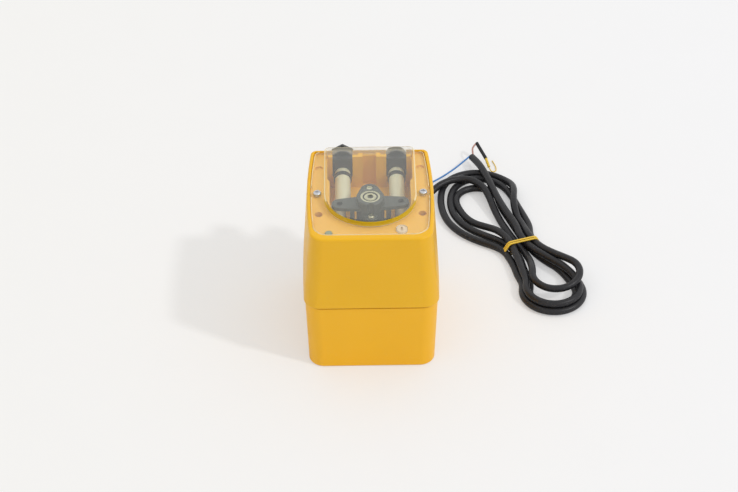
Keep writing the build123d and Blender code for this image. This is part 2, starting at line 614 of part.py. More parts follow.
def rotor():
    """Upper rotor body: hub, arms and the webs that stand beside each roller."""
    body = prism(hub_plan(), LOWER_ARM_TOP, HUB_TOP)
    body = chamfer(body.edges().group_by(Axis.Z)[-1], 0.6)
    body += prism(near_ear_plan(), LOWER_ARM_TOP, HUB_TOP - EAR_DROP)
    body += prism(arm_plan(), ARM_UNDER, ARM_TOP)
    for side in SIDES:
        body += block(*sorted((side * WEB_INNER, side * WEB_OUTER)), -WEB_HALF_LENGTH, WEB_HALF_LENGTH,
                      LOWER_ARM_TOP, ARM_UNDER)
        body -= rod(ROLLER_PIN_RADIUS, ARM_UNDER - 1, ARM_TOP + 1, side * ROLLER_OFFSET, 0)
    bearing_floor = HUB_TOP - BEARING_RECESS - BEARING_WIDTH
    body -= rod(BEARING_RADIUS, bearing_floor, HUB_TOP + 1)
    body -= rod(BEARING_RADIUS - OUTER_RING, bearing_floor - 0.5, bearing_floor + 1)
    body -= shaft_profile(LOWER_ARM_TOP - 1, bearing_floor - SHAFT_BELOW_BEARING + 0.3)
    for y, head_z in rotor_screw_seats():
        body -= rod(ROTOR_SCREW_RADIUS, LOWER_ARM_TOP - 1, HUB_TOP, 0, y)
        body -= rod(ROTOR_SCREW_HEAD + 0.1, head_z, HUB_TOP + 1, 0, y)
    return AXIS_AT_ROTOR * body


def shaft_profile(z0, z1):
    """Drive shaft with one flat."""
    flat = SHAFT_RADIUS - SHAFT_FLAT
    return rod(SHAFT_RADIUS, z0, z1) - block(-SHAFT_RADIUS, SHAFT_RADIUS, flat, SHAFT_RADIUS + 1, z0 - 1, z1 + 1)


def rotor_screw_seats():
    """Offset and head seat of the far and the near rotor screw."""
    return [(SCREW_OFFSET, HUB_TOP - 1.8), (-SCREW_OFFSET, HUB_TOP - EAR_DROP)]


def rotor_base():
    """Lower rotor plate that carries the roller pins from below."""
    face = hub_plan() + near_ear_plan() + arm_plan()
    plate = prism(face, LOWER_ARM_UNDER, LOWER_ARM_TOP)
    for side in SIDES:
        plate -= rod(ROLLER_PIN_RADIUS, LOWER_ARM_UNDER + 0.6, LOWER_ARM_TOP + 1, side * ROLLER_OFFSET, 0)
        plate -= rod(ROTOR_SCREW_RADIUS, LOWER_ARM_UNDER + 0.4, LOWER_ARM_TOP + 1, 0, side * SCREW_OFFSET)
    plate -= shaft_profile(LOWER_ARM_UNDER - 1, LOWER_ARM_TOP + 1)
    return AXIS_AT_ROTOR * plate


def rotor_screws():
    screws = []
    for y, head_z in rotor_screw_seats():
        length = head_z - LOWER_ARM_UNDER - 0.6
        screws.append(AXIS_AT_ROTOR * pan_head_screw(0, y, head_z, ROTOR_SCREW_RADIUS, ROTOR_SCREW_HEAD, length))
    return Compound(children=screws)


def roller_pins():
    """Fixed pins that the rollers turn on."""
    return Compound(children=[AXIS_AT_ROTOR * rod(ROLLER_PIN_RADIUS, LOWER_ARM_UNDER + 0.8, ARM_TOP - ROLLER_PIN_RECESS,
                                                  side * ROLLER_OFFSET, 0) for side in SIDES])


def roller(side):
    """Plain roller that squeezes the hose."""
    low = LOWER_ARM_TOP + ROLLER_END_GAP
    high = ARM_UNDER - ROLLER_END_GAP
    body = rod(ROLLER_RADIUS, low, high)
    body = chamfer(body.edges(), 0.5)
    body -= rod(ROLLER_PIN_RADIUS + RUNNING_GAP, low - 1, high + 1)
    return AXIS_AT_ROTOR * Pos(side * ROLLER_OFFSET, 0, 0) * body


def bearing_outer():
    """Outer ring of the hub bearing with its two shields."""
    top = HUB_TOP - BEARING_RECESS
    low = top - BEARING_WIDTH
    ring = rod(BEARING_RADIUS, low, top) - rod(BEARING_RADIUS - OUTER_RING, low - 1, top + 1)
    shield_bore = BEARING_BORE + INNER_RING + RUNNING_GAP
    for z in (low + 0.3, top - 0.3 - SHIELD_THICKNESS):
        ring += rod(BEARING_RADIUS - OUTER_RING + 0.2, z, z + SHIELD_THICKNESS) - rod(shield_bore, z - 1, z + 2)
    return AXIS_AT_ROTOR * ring


def bearing_inner():
    """Inner ring of the hub bearing, held by the steady pin of the cover."""
    top = HUB_TOP - BEARING_RECESS
    low = top - BEARING_WIDTH
    ring = rod(BEARING_BORE + INNER_RING, low, top) - rod(BEARING_BORE, low - 1, top + 1)
    return AXIS_AT_ROTOR * ring


# ================================================================ hose and outlets
def bend_section(angle, half_thickness, half_height):
    """Elliptic hose section against the track, at an angle round the rotor axis."""
    outward = Vector(cos(radians(angle)), sin(radians(angle)), 0)
    centre_radius = TRACK_RADIUS - TRACK_GAP - half_thickness
    origin = Vector(0, ROTOR_Y, HOSE_Z) + outward * centre_radius
    plane = Plane(origin=origin, x_dir=outward, z_dir=Vector(-outward.Y, outward.X, 0))
    return plane * Ellipse(half_thickness, half_height)


def leg_section(side, y, centre_x, half_thickness, half_height):
    """Elliptic hose section across a straight leg."""
    plane = Plane(origin=(side * centre_x, y, HOSE_Z), x_dir=(side, 0, 0), z_dir=(0, side, 0))
    return plane * Ellipse(half_thickness, half_height)


def squeezed_to_round(share_thickness, share_height):
    """Half thickness and half height of the hose on its way from flat back to round."""
    flat = HOSE_SQUEEZED / 2
    half_thickness = flat + (HOSE_RADIUS - flat) * share_thickness
    half_height = HOSE_FLAT_HALF + (HOSE_RADIUS - 0.01 - HOSE_FLAT_HALF) * share_height
    return half_thickness, half_height


def hose_half(side):
    """Sections of one side, from the connector to the round bend."""
    roller_angle = ROTOR_REST_ANGLE + (180 if side < 0 else 360)
    roller_y = ROTOR_Y + ROLLER_OFFSET * sin(radians(roller_angle))
    round_size = squeezed_to_round(1, 1)
    sections = [leg_section(side, CONNECTOR_FRONT, HOSE_X, *round_size),
                leg_section(side, roller_y + HOSE_LEG_EASING, HOSE_X, *round_size)]
    for distance, share_thickness, share_height in reversed(HOSE_EASING):
        size = squeezed_to_round(share_thickness, share_height)
        centre_x = TRACK_RADIUS - TRACK_GAP - size[0]
        sections.append(leg_section(side, roller_y + distance, centre_x, *size))
    sections.append(bend_section(roller_angle, *squeezed_to_round(0, 0)))
    for distance, share_thickness, share_height in HOSE_EASING:
        angle = roller_angle - side * degrees(distance / HOSE_FLAT_RADIUS)
        sections.append(bend_section(angle, *squeezed_to_round(share_thickness, share_height)))
    sections.append(bend_section(roller_angle - side * HOSE_BEND_ANGLE, *round_size))
    return sections


def pump_hose():
    """U-shaped hose: straight legs, squeezed under both rollers, round between them."""
    start = 180 + ROTOR_REST_ANGLE + HOSE_BEND_ANGLE
    span = 180 - 2 * HOSE_BEND_ANGLE
    bend = [bend_section(start + span * step / HOSE_BEND_STEPS, *squeezed_to_round(1, 1))
            for step in range(1, HOSE_BEND_STEPS)]
    hose = loft(hose_half(-1) + bend + hose_half(1)[::-1], ruled=True)
    for side in SIDES:
        hose -= lying_rod(HOSE_BORE_RADIUS, CONNECTOR_FRONT - BARB_LENGTH - 6, CONNECTOR_FRONT + 1, side * HOSE_X, HOSE_Z)
    return hose


def hose_clamp(side):
    """Spring clamp ring round the hose where it grips the barb."""
    high = CONNECTOR_FRONT - CLAMP_FROM_END
    low = high - CLAMP_LENGTH
    x = side * HOSE_X
    return (lying_rod(HOSE_RADIUS + CLAMP_THICKNESS, low, high, x, HOSE_Z)
            - lying_rod(HOSE_RADIUS, low - 1, high + 1, x, HOSE_Z))


def connector_shoulder(x, gap, y0, y1):
    """Arched upper part of a connector, as a solid between two stations."""
    radius = CONNECTOR_WIDTH / 2 + gap
    centre_z = SEAT_Z + SHOULDER_TOP - CONNECTOR_WIDTH / 2
    return lying_rod(radius, y0, y1, x, centre_z) + block(x - radius, x + radius, y0, y1, HOSE_Z, centre_z)


def hose_connector(side):
    """Moulded outlet: front block, ears that lock in the wall, arched shoulder, barb, thread, nipple."""
    x = side * HOSE_X
    half = CONNECTOR_WIDTH / 2
    body = outlet_slot(half, CONNECTOR_FRONT, BLOCK_FAR, x, SEAT_Z + CONNECTOR_TOP)
    body += connector_shoulder(x, 0, BLOCK_FAR, FAR_EDGE)
    body += lying_rod(half, BLOCK_FAR, FAR_EDGE, x, HOSE_Z)
    body += block(x - EAR_HALF_WIDTH, x + EAR_HALF_WIDTH, BLOCK_FAR - EAR_LENGTH - CONNECTOR_GAP, BLOCK_FAR - CONNECTOR_GAP,
                  HOSE_Z - EAR_BELOW_AXIS, HOSE_Z + EAR_ABOVE_AXIS)
    outside = thread_start()
    body += lying_rod(half, FAR_EDGE - 1, outside, x, HOSE_Z)
    body += lying_rod(HOSE_BORE_RADIUS, CONNECTOR_FRONT - BARB_LENGTH, CONNECTOR_FRONT + 1, x, HOSE_Z)
    body += lying_rod(THREAD_RADIUS, outside - 1, outside + THREAD_LENGTH, x, HOSE_Z)
    body += lying_rod(NIPPLE_RADIUS, outside, outside + NIPPLE_LENGTH, x, HOSE_Z)
    body -= lying_rod(CONNECTOR_BORE, CONNECTOR_FRONT - BARB_LENGTH - 1, outside + NIPPLE_LENGTH + 1, x, HOSE_Z)
    return body


def thread_start():
    """Y where the connector's thread begins, outside the drafted end wall."""
    share = (BODY_HEIGHT - HOSE_Z + CONNECTOR_WIDTH / 2) / (BODY_HEIGHT - LIP_Z)
    return FAR_EDGE + (LIP_LENGTH - TOP_LENGTH) / 2 * share + 0.6


def hose_nut(side):
    """Hexagonal union nut; the two stopped at different turns."""
    x = side * HOSE_X
    start = thread_start() + NUT_GAP
    end = start + NUT_LENGTH
    turn = 0 if side < 0 else 30
    nut = lying_hexagon(NUT_FLATS, start, end, x, HOSE_Z, turn)
    cone = Pos(x, end - 2.5, HOSE_Z) * Rot(-90, 0, 0) * Cone(NUT_FLATS / 2 * 1.16 + 2, NUT_FLATS / 2 * 0.9, 5)
    nut &= cone + lying_rod(NUT_FLATS, start - 1, end - 5, x, HOSE_Z)
    nut -= lying_rod(THREAD_RADIUS, start - 1, end - NUT_WALL, x, HOSE_Z)
    nut -= lying_rod(TUBE_HOLE_RADIUS, start, end + 1, x, HOSE_Z)
    return nut


# ================================================================ gear motor
def plate_outline():
    centre = (PLATE_NEAR_Y + PLATE_FAR_Y) / 2
    return Pos(0, centre) * RectangleRounded(2 * PLATE_HALF_WIDTH, PLATE_FAR_Y - PLATE_NEAR_Y, PLATE_RADIUS)


def gearbox_front_plate():
    """Plate against the underside of the pump chamber."""
    plate = prism(plate_outline(), FRONT_PLATE_Z, TUB_UNDER)
    plate -= rod(BUSH_RADIUS, FRONT_PLATE_Z - 1, TUB_UNDER + 1, 0, ROTOR_Y)
    plate -= rod(ARBOR_RADIUS, FRONT_PLATE_Z - 1, TUB_UNDER + 1, 0, INTERMEDIATE_Y)
    for x, y in PILLARS:
        plate -= rod(PILLAR_BORE, FRONT_PLATE_Z - 1, TUB_UNDER + 1, x, y)
    return plate


def gearbox_back_plate():
    """Plate that carries the motor."""
    plate = prism(plate_outline(), BACK_PLATE_Z, BACK_PLATE_TOP)
    plate -= rod(BUSH_RADIUS, BACK_PLATE_Z - 1, BACK_PLATE_TOP + 1, 0, ROTOR_Y)
    plate -= rod(ARBOR_RADIUS, BACK_PLATE_Z - 1, BACK_PLATE_TOP + 1, 0, INTERMEDIATE_Y)
    plate -= rod(MOTOR_BOSS_RADIUS, BACK_PLATE_Z - 1, BACK_PLATE_TOP + 1, 0, MOTOR_Y)
    for side in SIDES:
        plate -= rod(1.6, BACK_PLATE_Z - 1, BACK_PLATE_TOP + 1, side * MOTOR_SCREW_X, MOTOR_Y)
    for x, y in PILLARS:
        plate -= rod(PILLAR_BORE, BACK_PLATE_Z - 1, BACK_PLATE_TOP + 1, x, y)
    return plate


def gearbox_pillars():
    return Compound(children=[rod(PILLAR_RADIUS, BACK_PLATE_TOP, FRONT_PLATE_Z, x, y)
                              - rod(PILLAR_BORE, BACK_PLATE_TOP - 1, FRONT_PLATE_Z + 1, x, y) for x, y in PILLARS])


def gearbox_screws():
    """Long screws from below through plates and pillars into the chamber floor."""
    length = CHAMBER_FLOOR - 1.0 - BACK_PLATE_Z
    screws = []
    for x, y in PILLARS:
        screw = Rot(180, 0, 0) * pan_head_screw(0, 0, 0, PILLAR_BORE - 0.1, 3.0, length)
        screws.append(Pos(x, y, BACK_PLATE_Z) * screw)
    return Compound(children=screws)


def shaft_bushes():
    """Two plain bushes of the output shaft."""
    bushes = []
    for z0, z1 in ((BACK_PLATE_Z, BACK_PLATE_TOP), (FRONT_PLATE_Z, TUB_UNDER)):
        bushes.append(rod(BUSH_RADIUS, z0, z1, 0, ROTOR_Y) - rod(SHAFT_RADIUS + RUNNING_GAP, z0 - 1, z1 + 1, 0, ROTOR_Y))
    return Compound(children=bushes)


def shaft_seal():
    """Lip seal under the chamber floor."""
    top = CHAMBER_FLOOR - 1
    return (rod(SEAL_RADIUS, TUB_UNDER, top, 0, ROTOR_Y)
            - rod(SHAFT_RADIUS + RUNNING_GAP, TUB_UNDER - 1, top + 1, 0, ROTOR_Y))


def output_shaft():
    """Shaft from the gearbox into the rotor, with a flat over its upper part."""
    top = HUB_TOP - BEARING_RECESS - BEARING_WIDTH - SHAFT_BELOW_BEARING
    shaft = rod(SHAFT_RADIUS, BACK_PLATE_Z + 0.3, LOWER_ARM_UNDER - 0.4) + shaft_profile(LOWER_ARM_UNDER - 0.4, top)
    return AXIS_AT_ROTOR * shaft


def output_gear():
    """Large gear on the output shaft."""
    gear = prism(gear_outline(OUTPUT_MODULE, OUTPUT_TEETH, 90), OUTPUT_GEAR_Z, OUTPUT_GEAR_Z + GEAR_WIDTH)
    gear += rod(8, OUTPUT_GEAR_Z - 3, OUTPUT_GEAR_Z)
    gear -= rod(SHAFT_RADIUS, OUTPUT_GEAR_Z - 4, OUTPUT_GEAR_Z + GEAR_WIDTH + 1)
    return Pos(0, ROTOR_Y, 0) * gear


def intermediate_gear():
    """Double gear: large wheel from the motor, small pinion to the output gear."""
    wheel_top = MOTOR_GEAR_Z + GEAR_WIDTH
    pinion_low = OUTPUT_GEAR_Z - 1.0
    gap_phase = -90 + 180 / OUTPUT_PINION_TEETH
    wheel_phase = -90 + 180 / MOTOR_WHEEL_TEETH
    gear = prism(gear_outline(MOTOR_MODULE, MOTOR_WHEEL_TEETH, wheel_phase), MOTOR_GEAR_Z, wheel_top)
    gear += rod(5.2, wheel_top, pinion_low)
    gear += prism(gear_outline(OUTPUT_MODULE, OUTPUT_PINION_TEETH, gap_phase), pinion_low, pinion_low + PINION_WIDTH)
    gear -= rod(ARBOR_RADIUS + RUNNING_GAP, MOTOR_GEAR_Z - 1, pinion_low + PINION_WIDTH + 1)
    return Pos(0, INTERMEDIATE_Y, 0) * gear


def intermediate_arbor():
    return rod(ARBOR_RADIUS, BACK_PLATE_Z, TUB_UNDER, 0, INTERMEDIATE_Y)


def motor_body():
    """Round motor can with its front boss, end cap step and terminals' side."""
    can = rod(MOTOR_RADIUS, MOTOR_BOTTOM + 5, BACK_PLATE_Z)
    can = fillet(can.edges().group_by(Axis.Z)[-1], 1.5)
    can += rod(MOTOR_RADIUS - 1.2, MOTOR_BOTTOM, MOTOR_BOTTOM + 5)
    can += rod(MOTOR_BOSS_RADIUS, BACK_PLATE_Z - 2, BACK_PLATE_TOP - 0.5)
    for side in SIDES:
        can += block(side * 9 - 0.4, side * 9 + 0.4, -2.4, 2.4, MOTOR_BOTTOM - 7, MOTOR_BOTTOM)
        can -= rod(1.5, BACK_PLATE_Z - 5, BACK_PLATE_Z + 1, side * MOTOR_SCREW_X, 0)
    can -= rod(MOTOR_SHAFT_RADIUS + RUNNING_GAP, MOTOR_BOTTOM + 4, BACK_PLATE_TOP + 1)
    can -= rod(ARMATURE_RADIUS + ARMATURE_GAP, ARMATURE_LOW - 2, ARMATURE_LOW + ARMATURE_LENGTH + 2)
    return Pos(0, MOTOR_Y, 0) * can


def motor_screws():
    return Compound(children=[pan_head_screw(side * MOTOR_SCREW_X, MOTOR_Y, BACK_PLATE_TOP, 1.5, 2.7, PLATE_THICKNESS + 4)
                              for side in SIDES])


def motor_shaft():
    top = MOTOR_GEAR_Z + PINION_WIDTH
    return rod(MOTOR_SHAFT_RADIUS, MOTOR_BOTTOM + 4.2, top, 0, MOTOR_Y)


def motor_armature():
    """Slotted steel core pressed on the motor shaft."""
    face = Circle(ARMATURE_RADIUS) - Circle(MOTOR_SHAFT_RADIUS)
    mouth_depth = ARMATURE_RADIUS - ARMATURE_SLOT_AT + 1
    slot = Pos(ARMATURE_SLOT_AT, 0) * Circle(ARMATURE_SLOT_RADIUS)
    slot += Pos(ARMATURE_SLOT_AT + mouth_depth / 2, 0) * Rectangle(mouth_depth, ARMATURE_MOUTH)
    for number in range(ARMATURE_SLOTS):
        face -= Rot(0, 0, 360 * number / ARMATURE_SLOTS) * slot
    return Pos(0, MOTOR_Y, 0) * prism(face, ARMATURE_LOW, ARMATURE_LOW + ARMATURE_LENGTH)


def motor_pinion():
    gear = prism(gear_outline(MOTOR_MODULE, MOTOR_PINION_TEETH, 90), MOTOR_GEAR_Z - 1, MOTOR_GEAR_Z + PINION_WIDTH - 1)
    gear -= rod(MOTOR_SHAFT_RADIUS, MOTOR_GEAR_Z - 2, MOTOR_GEAR_Z + PINION_WIDTH + 1)
    return Pos(0, MOTOR_Y, 0) * gear


# ================================================================ controls and wiring
def circuit_board():
    """Board under the near deck, cut back round the chamber wall."""
    face = Pos(0, BOARD_NEAR + BOARD_DEPTH / 2) * Rectangle(2 * BOARD_HALF_WIDTH, BOARD_DEPTH)
    face -= Pos(0, ROTOR_Y) * Circle(TRACK_RADIUS + TUB_WALL + 0.8)
    board = prism(face, BOARD_TOP - BOARD_THICKNESS, BOARD_TOP)
    for side in SIDES:
        board -= rod(BOARD_SCREW_RADIUS + SCREW_CLEARANCE, 0, BODY_HEIGHT, side * BOARD_SCREW_X, board_screw_y())
    return board


def board_screws():
    screws = []
    for side in SIDES:
        screw = Rot(180, 0, 0) * pan_head_screw(0, 0, 0, BOARD_SCREW_RADIUS, 2.4, BOARD_THICKNESS + 5)
        screws.append(Pos(side * BOARD_SCREW_X, board_screw_y(), BOARD_TOP - BOARD_THICKNESS) * screw)
    return Compound(children=screws)


def indicator_lamp():
    """Round lamp with two legs, its lens just under the cover."""
    top = SEAT_Z - 0.3
    low = BOARD_TOP + 4
    lens = rod(LAMP_RADIUS, low, top)
    lens = fillet(lens.edges().group_by(Axis.Z)[-1], LAMP_RADIUS * 0.6)
    for side in SIDES:
        lens += rod(0.35, BOARD_TOP, low, side * 1.27, 0)
    return Pos(LAMP_X, LAMP_Y, 0) * lens


def trimmer_body():
    """Potentiometer on the board."""
    half = TRIMMER_BODY / 2
    body = block(-half, half, -half, half, BOARD_TOP, BOARD_TOP + 6)
    body += rod(2.0, BOARD_TOP + 6, BOARD_TOP + 9)
    return Pos(TRIMMER_X, TRIMMER_Y, 0) * body


def trimmer_cap():
    """White turning cap with a screwdriver slot, level with the cover."""
    low = BOARD_TOP + 6.4
    top = COVER_TOP - 0.4
    cap = rod(TRIMMER_CAP_RADIUS, low, top)
    cap = fillet(cap.edges().group_by(Axis.Z)[-1], 0.8)
    cap -= rod(2.0 + RUNNING_GAP, low - 1, BOARD_TOP + 9.3)
    reach = TRIMMER_CAP_RADIUS * 0.55
    cap -= block(-TRIMMER_SLOT / 2, TRIMMER_SLOT / 2, -reach, reach, top - 1.2, top + 1)
    return Pos(TRIMMER_X, TRIMMER_Y, 0) * cap


def terminal_block():
    """Three-way screw terminal on the floor of the rear box."""
    base = block(-15, 15, -6, 6, 0, 9) + block(-15, 15, -3.5, 3.5, 9, 15)
    for step in (-1, 0, 1):
        base -= rod(2.2, 11, 16, step * 10, 0)
        base -= Pos(step * 10, 0, 4.5) * Rot(90, 0, 0) * Cylinder(2.0, 14)
    return Pos(0, 44, BACK_WALL) * base


def cable_gland():
    """Gland body through the end wall with its hexagonal flange."""
    face = gland_face()
    inner = face - GLAND_PAD_HEIGHT - CASE_WALL - 8
    body = lying_rod(GLAND_THREAD, inner, face + 0.5, GLAND_X, GLAND_Z)
    body += lying_hexagon(GLAND_FLATS, face, face + GLAND_FLANGE, GLAND_X, GLAND_Z, 0)
    body += lying_rod(GLAND_THREAD - 0.4, face + GLAND_FLANGE - 1, face + GLAND_FLANGE + 5, GLAND_X, GLAND_Z)
    return body - lying_rod(CABLE_RADIUS + 0.1, inner - 1, face + 20, GLAND_X, GLAND_Z)


def gland_nut():
    """Domed nut that clamps the cable."""
    start = gland_face() + GLAND_FLANGE + 0.3
    end = start + GLAND_NUT_LENGTH
    nut = lying_rod(GLAND_FLATS / 2, start, end, GLAND_X, GLAND_Z)
    nut = fillet(nut.edges().group_by(Axis.Y)[-1], 3.5)
    grip = lying_hexagon(GLAND_FLATS, start, start + 5, GLAND_X, GLAND_Z, 30)
    nut += grip
    nut -= lying_rod(GLAND_THREAD - 0.4, start - 1, start + 5.2, GLAND_X, GLAND_Z)
    return nut - lying_rod(CABLE_RADIUS, start, end + 1, GLAND_X, GLAND_Z)


def gland_lock_nut():
    """Lock nut inside the rear box."""
    wall = gland_face() - GLAND_PAD_HEIGHT - CASE_WALL
    nut = lying_hexagon(GLAND_FLATS, wall - 4.5, wall - 1.0, GLAND_X, GLAND_Z, 0)
    return nut - lying_rod(GLAND_THREAD, wall - 6, wall, GLAND_X, GLAND_Z)


def gland_mouth():
    return gland_face() + GLAND_FLANGE + 0.3 + GLAND_NUT_LENGTH


def power_cable():
    """Free stretch of the cable from the gland to the hank, lying on the floor."""
    points = [(GLAND_X, gland_mouth(), GLAND_Z)] + CABLE_BENDS + [CABLE_INTO_HANK]
    return cord_tube(points, CABLE_RADIUS, "power_cable")


def cable_hank():
    """Outer shape of the tied hank, drawn in where the band holds it."""
    face = make_face(Polyline(*HANK_OUTLINE, close=True))
    return prism(face, HANK_LIFT, HANK_LIFT + HANK_HEIGHT) - hank_band()


def hank_band():
    """Yellow band round the hank."""
    start = Vector(*BAND_FROM)
    end = Vector(*BAND_TO)
    span = end - start
    low = HANK_LIFT - BAND_THICKNESS
    height = HANK_HEIGHT + 2 * BAND_THICKNESS
    middle = start + span / 2
    plane = Plane(origin=(middle.X, middle.Y, low + height / 2), x_dir=(span.X, span.Y, 0), z_dir=(span.Y, -span.X, 0))
    ring = RectangleRounded(span.length, height, 3) - RectangleRounded(
        span.length - 2 * BAND_THICKNESS, height - 2 * BAND_THICKNESS, 2.2)
    return extrude(plane * ring, BAND_WIDTH / 2, both=True)


def cut_end():
    """End of the cable beyond the hank."""
    return cord_tube([CUT_END_FROM, CUT_END_TO], CABLE_RADIUS, "cut_end")


def blue_wire():
    return cord_tube(BLUE_ROUTE, CORE_RADIUS, "blue_wire")


def brown_wire():
    return cord_tube(BROWN_ROUTE, CORE_RADIUS, "brown_wire")


def wire_sleeve():
    return cord_tube(SLEEVE_ROUTE, SLEEVE_RADIUS, "wire_sleeve")


def wire_ferrule():
    return cord_tube([SLEEVE_ROUTE[-1], FERRULE_END], FERRULE_RADIUS, "wire_ferrule")


NODES = {
    "rear_box": rear_box, "seam_gasket": seam_gasket, "front_housing": front_housing,
    "clear_cover": clear_cover, "cover_screws": cover_screws, "housing_screws": housing_screws,
    "rotor": rotor, "rotor_base": rotor_base, "rotor_screws": rotor_screws, "roller_pins": roller_pins,
    "roller_left": lambda: roller(-1), "roller_right": lambda: roller(1),
    "bearing_outer": bearing_outer, "bearing_inner": bearing_inner,
    "pump_hose": pump_hose,
    "hose_clamp_left": lambda: hose_clamp(-1), "hose_clamp_right": lambda: hose_clamp(1),
    "hose_connector_left": lambda: hose_connector(-1), "hose_connector_right": lambda: hose_connector(1),
    "hose_nut_left": lambda: hose_nut(-1), "hose_nut_right": lambda: hose_nut(1),
    "gearbox_front_plate": gearbox_front_plate, "gearbox_back_plate": gearbox_back_plate,
    "gearbox_pillars": gearbox_pillars, "gearbox_screws": gearbox_screws, "shaft_bushes": shaft_bushes,
    "shaft_seal": shaft_seal, "output_shaft": output_shaft, "output_gear": output_gear,
    "intermediate_gear": intermediate_gear, "intermediate_arbor": intermediate_arbor,
    "motor_body": motor_body, "motor_screws": motor_screws, "motor_shaft": motor_shaft,
    "motor_armature": motor_armature,
    "motor_pinion": motor_pinion,
    "circuit_board": circuit_board, "board_screws": board_screws, "indicator_lamp": indicator_lamp,
    "trimmer_body": trimmer_body, "trimmer_cap": trimmer_cap, "terminal_block": terminal_block,
    "cable_gland": cable_gland, "gland_nut": gland_nut, "gland_lock_nut": gland_lock_nut,
    "power_cable": power_cable, "cable_hank": cable_hank, "hank_band": hank_band, "cut_end": cut_end,
    "blue_wire": blue_wire, "brown_wire": brown_wire, "wire_sleeve": wire_sleeve, "wire_ferrule": wire_ferrule,
}

os.makedirs("parts", exist_ok=True)
for node, make in NODES.items():
    export_step(make(), f"parts/{node}.step")
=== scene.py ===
from math import cos, pi, radians, sin

import bmesh
import bpy
from bpy.props import FloatProperty, FloatVectorProperty, PointerProperty
from mathutils import Matrix, Quaternion, Vector


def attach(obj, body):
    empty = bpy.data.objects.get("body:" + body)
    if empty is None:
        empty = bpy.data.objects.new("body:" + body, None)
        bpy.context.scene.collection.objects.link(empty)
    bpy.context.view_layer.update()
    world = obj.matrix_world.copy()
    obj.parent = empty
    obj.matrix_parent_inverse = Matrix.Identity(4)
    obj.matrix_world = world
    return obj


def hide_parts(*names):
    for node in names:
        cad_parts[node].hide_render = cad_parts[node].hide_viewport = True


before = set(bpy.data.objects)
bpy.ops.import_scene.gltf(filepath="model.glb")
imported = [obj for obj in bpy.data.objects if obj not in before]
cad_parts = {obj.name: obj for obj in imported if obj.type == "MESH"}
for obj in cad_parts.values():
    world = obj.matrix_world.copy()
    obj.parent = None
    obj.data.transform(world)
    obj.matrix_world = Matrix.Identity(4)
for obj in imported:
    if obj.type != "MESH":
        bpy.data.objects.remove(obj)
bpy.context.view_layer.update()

bl_info = {
    "name": "Hose dosing pump",
    "version": (1, 0, 0),
    "blender": (4, 5, 0),
    "location": "View3D > Sidebar > Pump",
    "description": "Finishes, cable and studio of a hose dosing pump",
    "category": "Object",
}

# Sizes and places are in millimetres in the part's own frame; MM turns them into metres.
MM = 0.001

# ---------------------------------------------------------------- cover
SEAT_LEVEL = 130.7       # underside of the flange
SEAT_FILM = 0.15         # film of air between the flange and its seat
HIGHLIGHT_BEAD_WIDTH = 1.1         # bead round the flange, which carries a painted highlight
HIGHLIGHT_BEAD_RISE = 0.8          # its height above the flange, up to the rim
SHADE_LINE_TOP = 132.1        # top of the painted shade line at the foot of the dome
GLINT_LINE_TOP = 132.95     # top of the painted highlight line above it
ROUNDING_LEVEL = 136.9   # where the rounding round the top of the dome begins
EDGE_RUN_OUT = 10.0      # how far the painted highlight on that rounding runs into the near arc
DOME_REACH = 38.5        # what lies further out is flange and not dome
DOME_FAR_ZONE = 53.0     # walls further away than this are far walls
COVER_HOLES = [(-43, 1, 6), (43, 1, 6), (24.5, -45.3, 7)]    # screws and trimmer: x, y and reach
# name, colour setting, and how much it hides when seen straight on and at a grazing view
COVER_FINISHES = (
    # painted reflection: the clear cover's near-white veil stands in for the bright surroundings it reflects
    ("clear cover", "cover", 0.026, 0.32),
    # painted refraction: the near wall's yellow stands in for the yellow body seen through the wall
    ("cover wall over yellow", "cover_wall", 0.66, 0.95),
    # painted sheen: the far wall's cream stands in for light gathered in the plastic's thickness
    ("cover far wall", "cover_far_wall", 0.22, 0.64),
    # painted highlight: near-opaque white on the flange's cut edges and on the line over the dome's foot
    ("cover cut edge", "cover", 0.8, 0.98),
    # painted shade: dark line at the foot of the dome
    ("cover seam", "cover_seam", 0.5, 0.8),
    # painted highlight along the rounding at the top of the dome and on the flange's bead
    ("cover dome edge", "cover_far_wall", 0.6, 0.84),
)
FLAT, NEAR_WALL, OTHER_WALL, PAINTED_GLINT, PAINTED_SHADE_LINE, PAINTED_HIGHLIGHT = range(len(COVER_FINISHES))

# ---------------------------------------------------------------- rotor
ROTOR_AXIS_Y = -5.5
STEADY_PIN_ZONE = 4.0
SHIELD_RING = (4.95, 5.05, 6.2, 6.3)    # radii between which the black ring fades in and out

# ---------------------------------------------------------------- small parts: profiles as (along, radius)
UP = Vector((0, 0, 1))
OUT_OF_WALL = Vector((0, 1, 0))
LAMP_WINDOW = [(0, 0), (0, 2.85), (2.6, 2.85), (2.9, 2.6), (3.0, 1.6), (3.05, 0)]
LAMP_WINDOW_AT = Vector((-33.7, -48.5, 128.8))
WELL_CAP = [(0, 0), (0, 3.2), (1.1, 3.2), (1.3, 3.0), (1.3, 0)]
WELL_CAP_X = 41.7
WELL_CAP_Y = 38.0
WELL_CAP_Z = 128.3
COLLAR = [(0, 7.8), (0, 10.2), (0.5, 10.6), (2.2, 10.6), (2.7, 10.0), (2.7, 7.8), (0, 7.8)]
COLLAR_AT = Vector((-22.4, 76.4, 115.5))
BOOT_PROFILE = [(0.0, 5.6), (1.6, 5.6), (2.0, 4.9), (4.2, 4.8), (4.6, 5.4), (6.0, 5.3), (6.4, 4.7),
                (8.6, 4.6), (9.0, 5.1), (10.4, 5.0), (10.8, 4.5), (13.0, 4.4), (13.4, 4.9), (14.8, 4.8),
                (15.2, 4.3), (18.0, 4.1), (21.0, 3.9), (24.0, 3.7), (24.6, 3.3)]

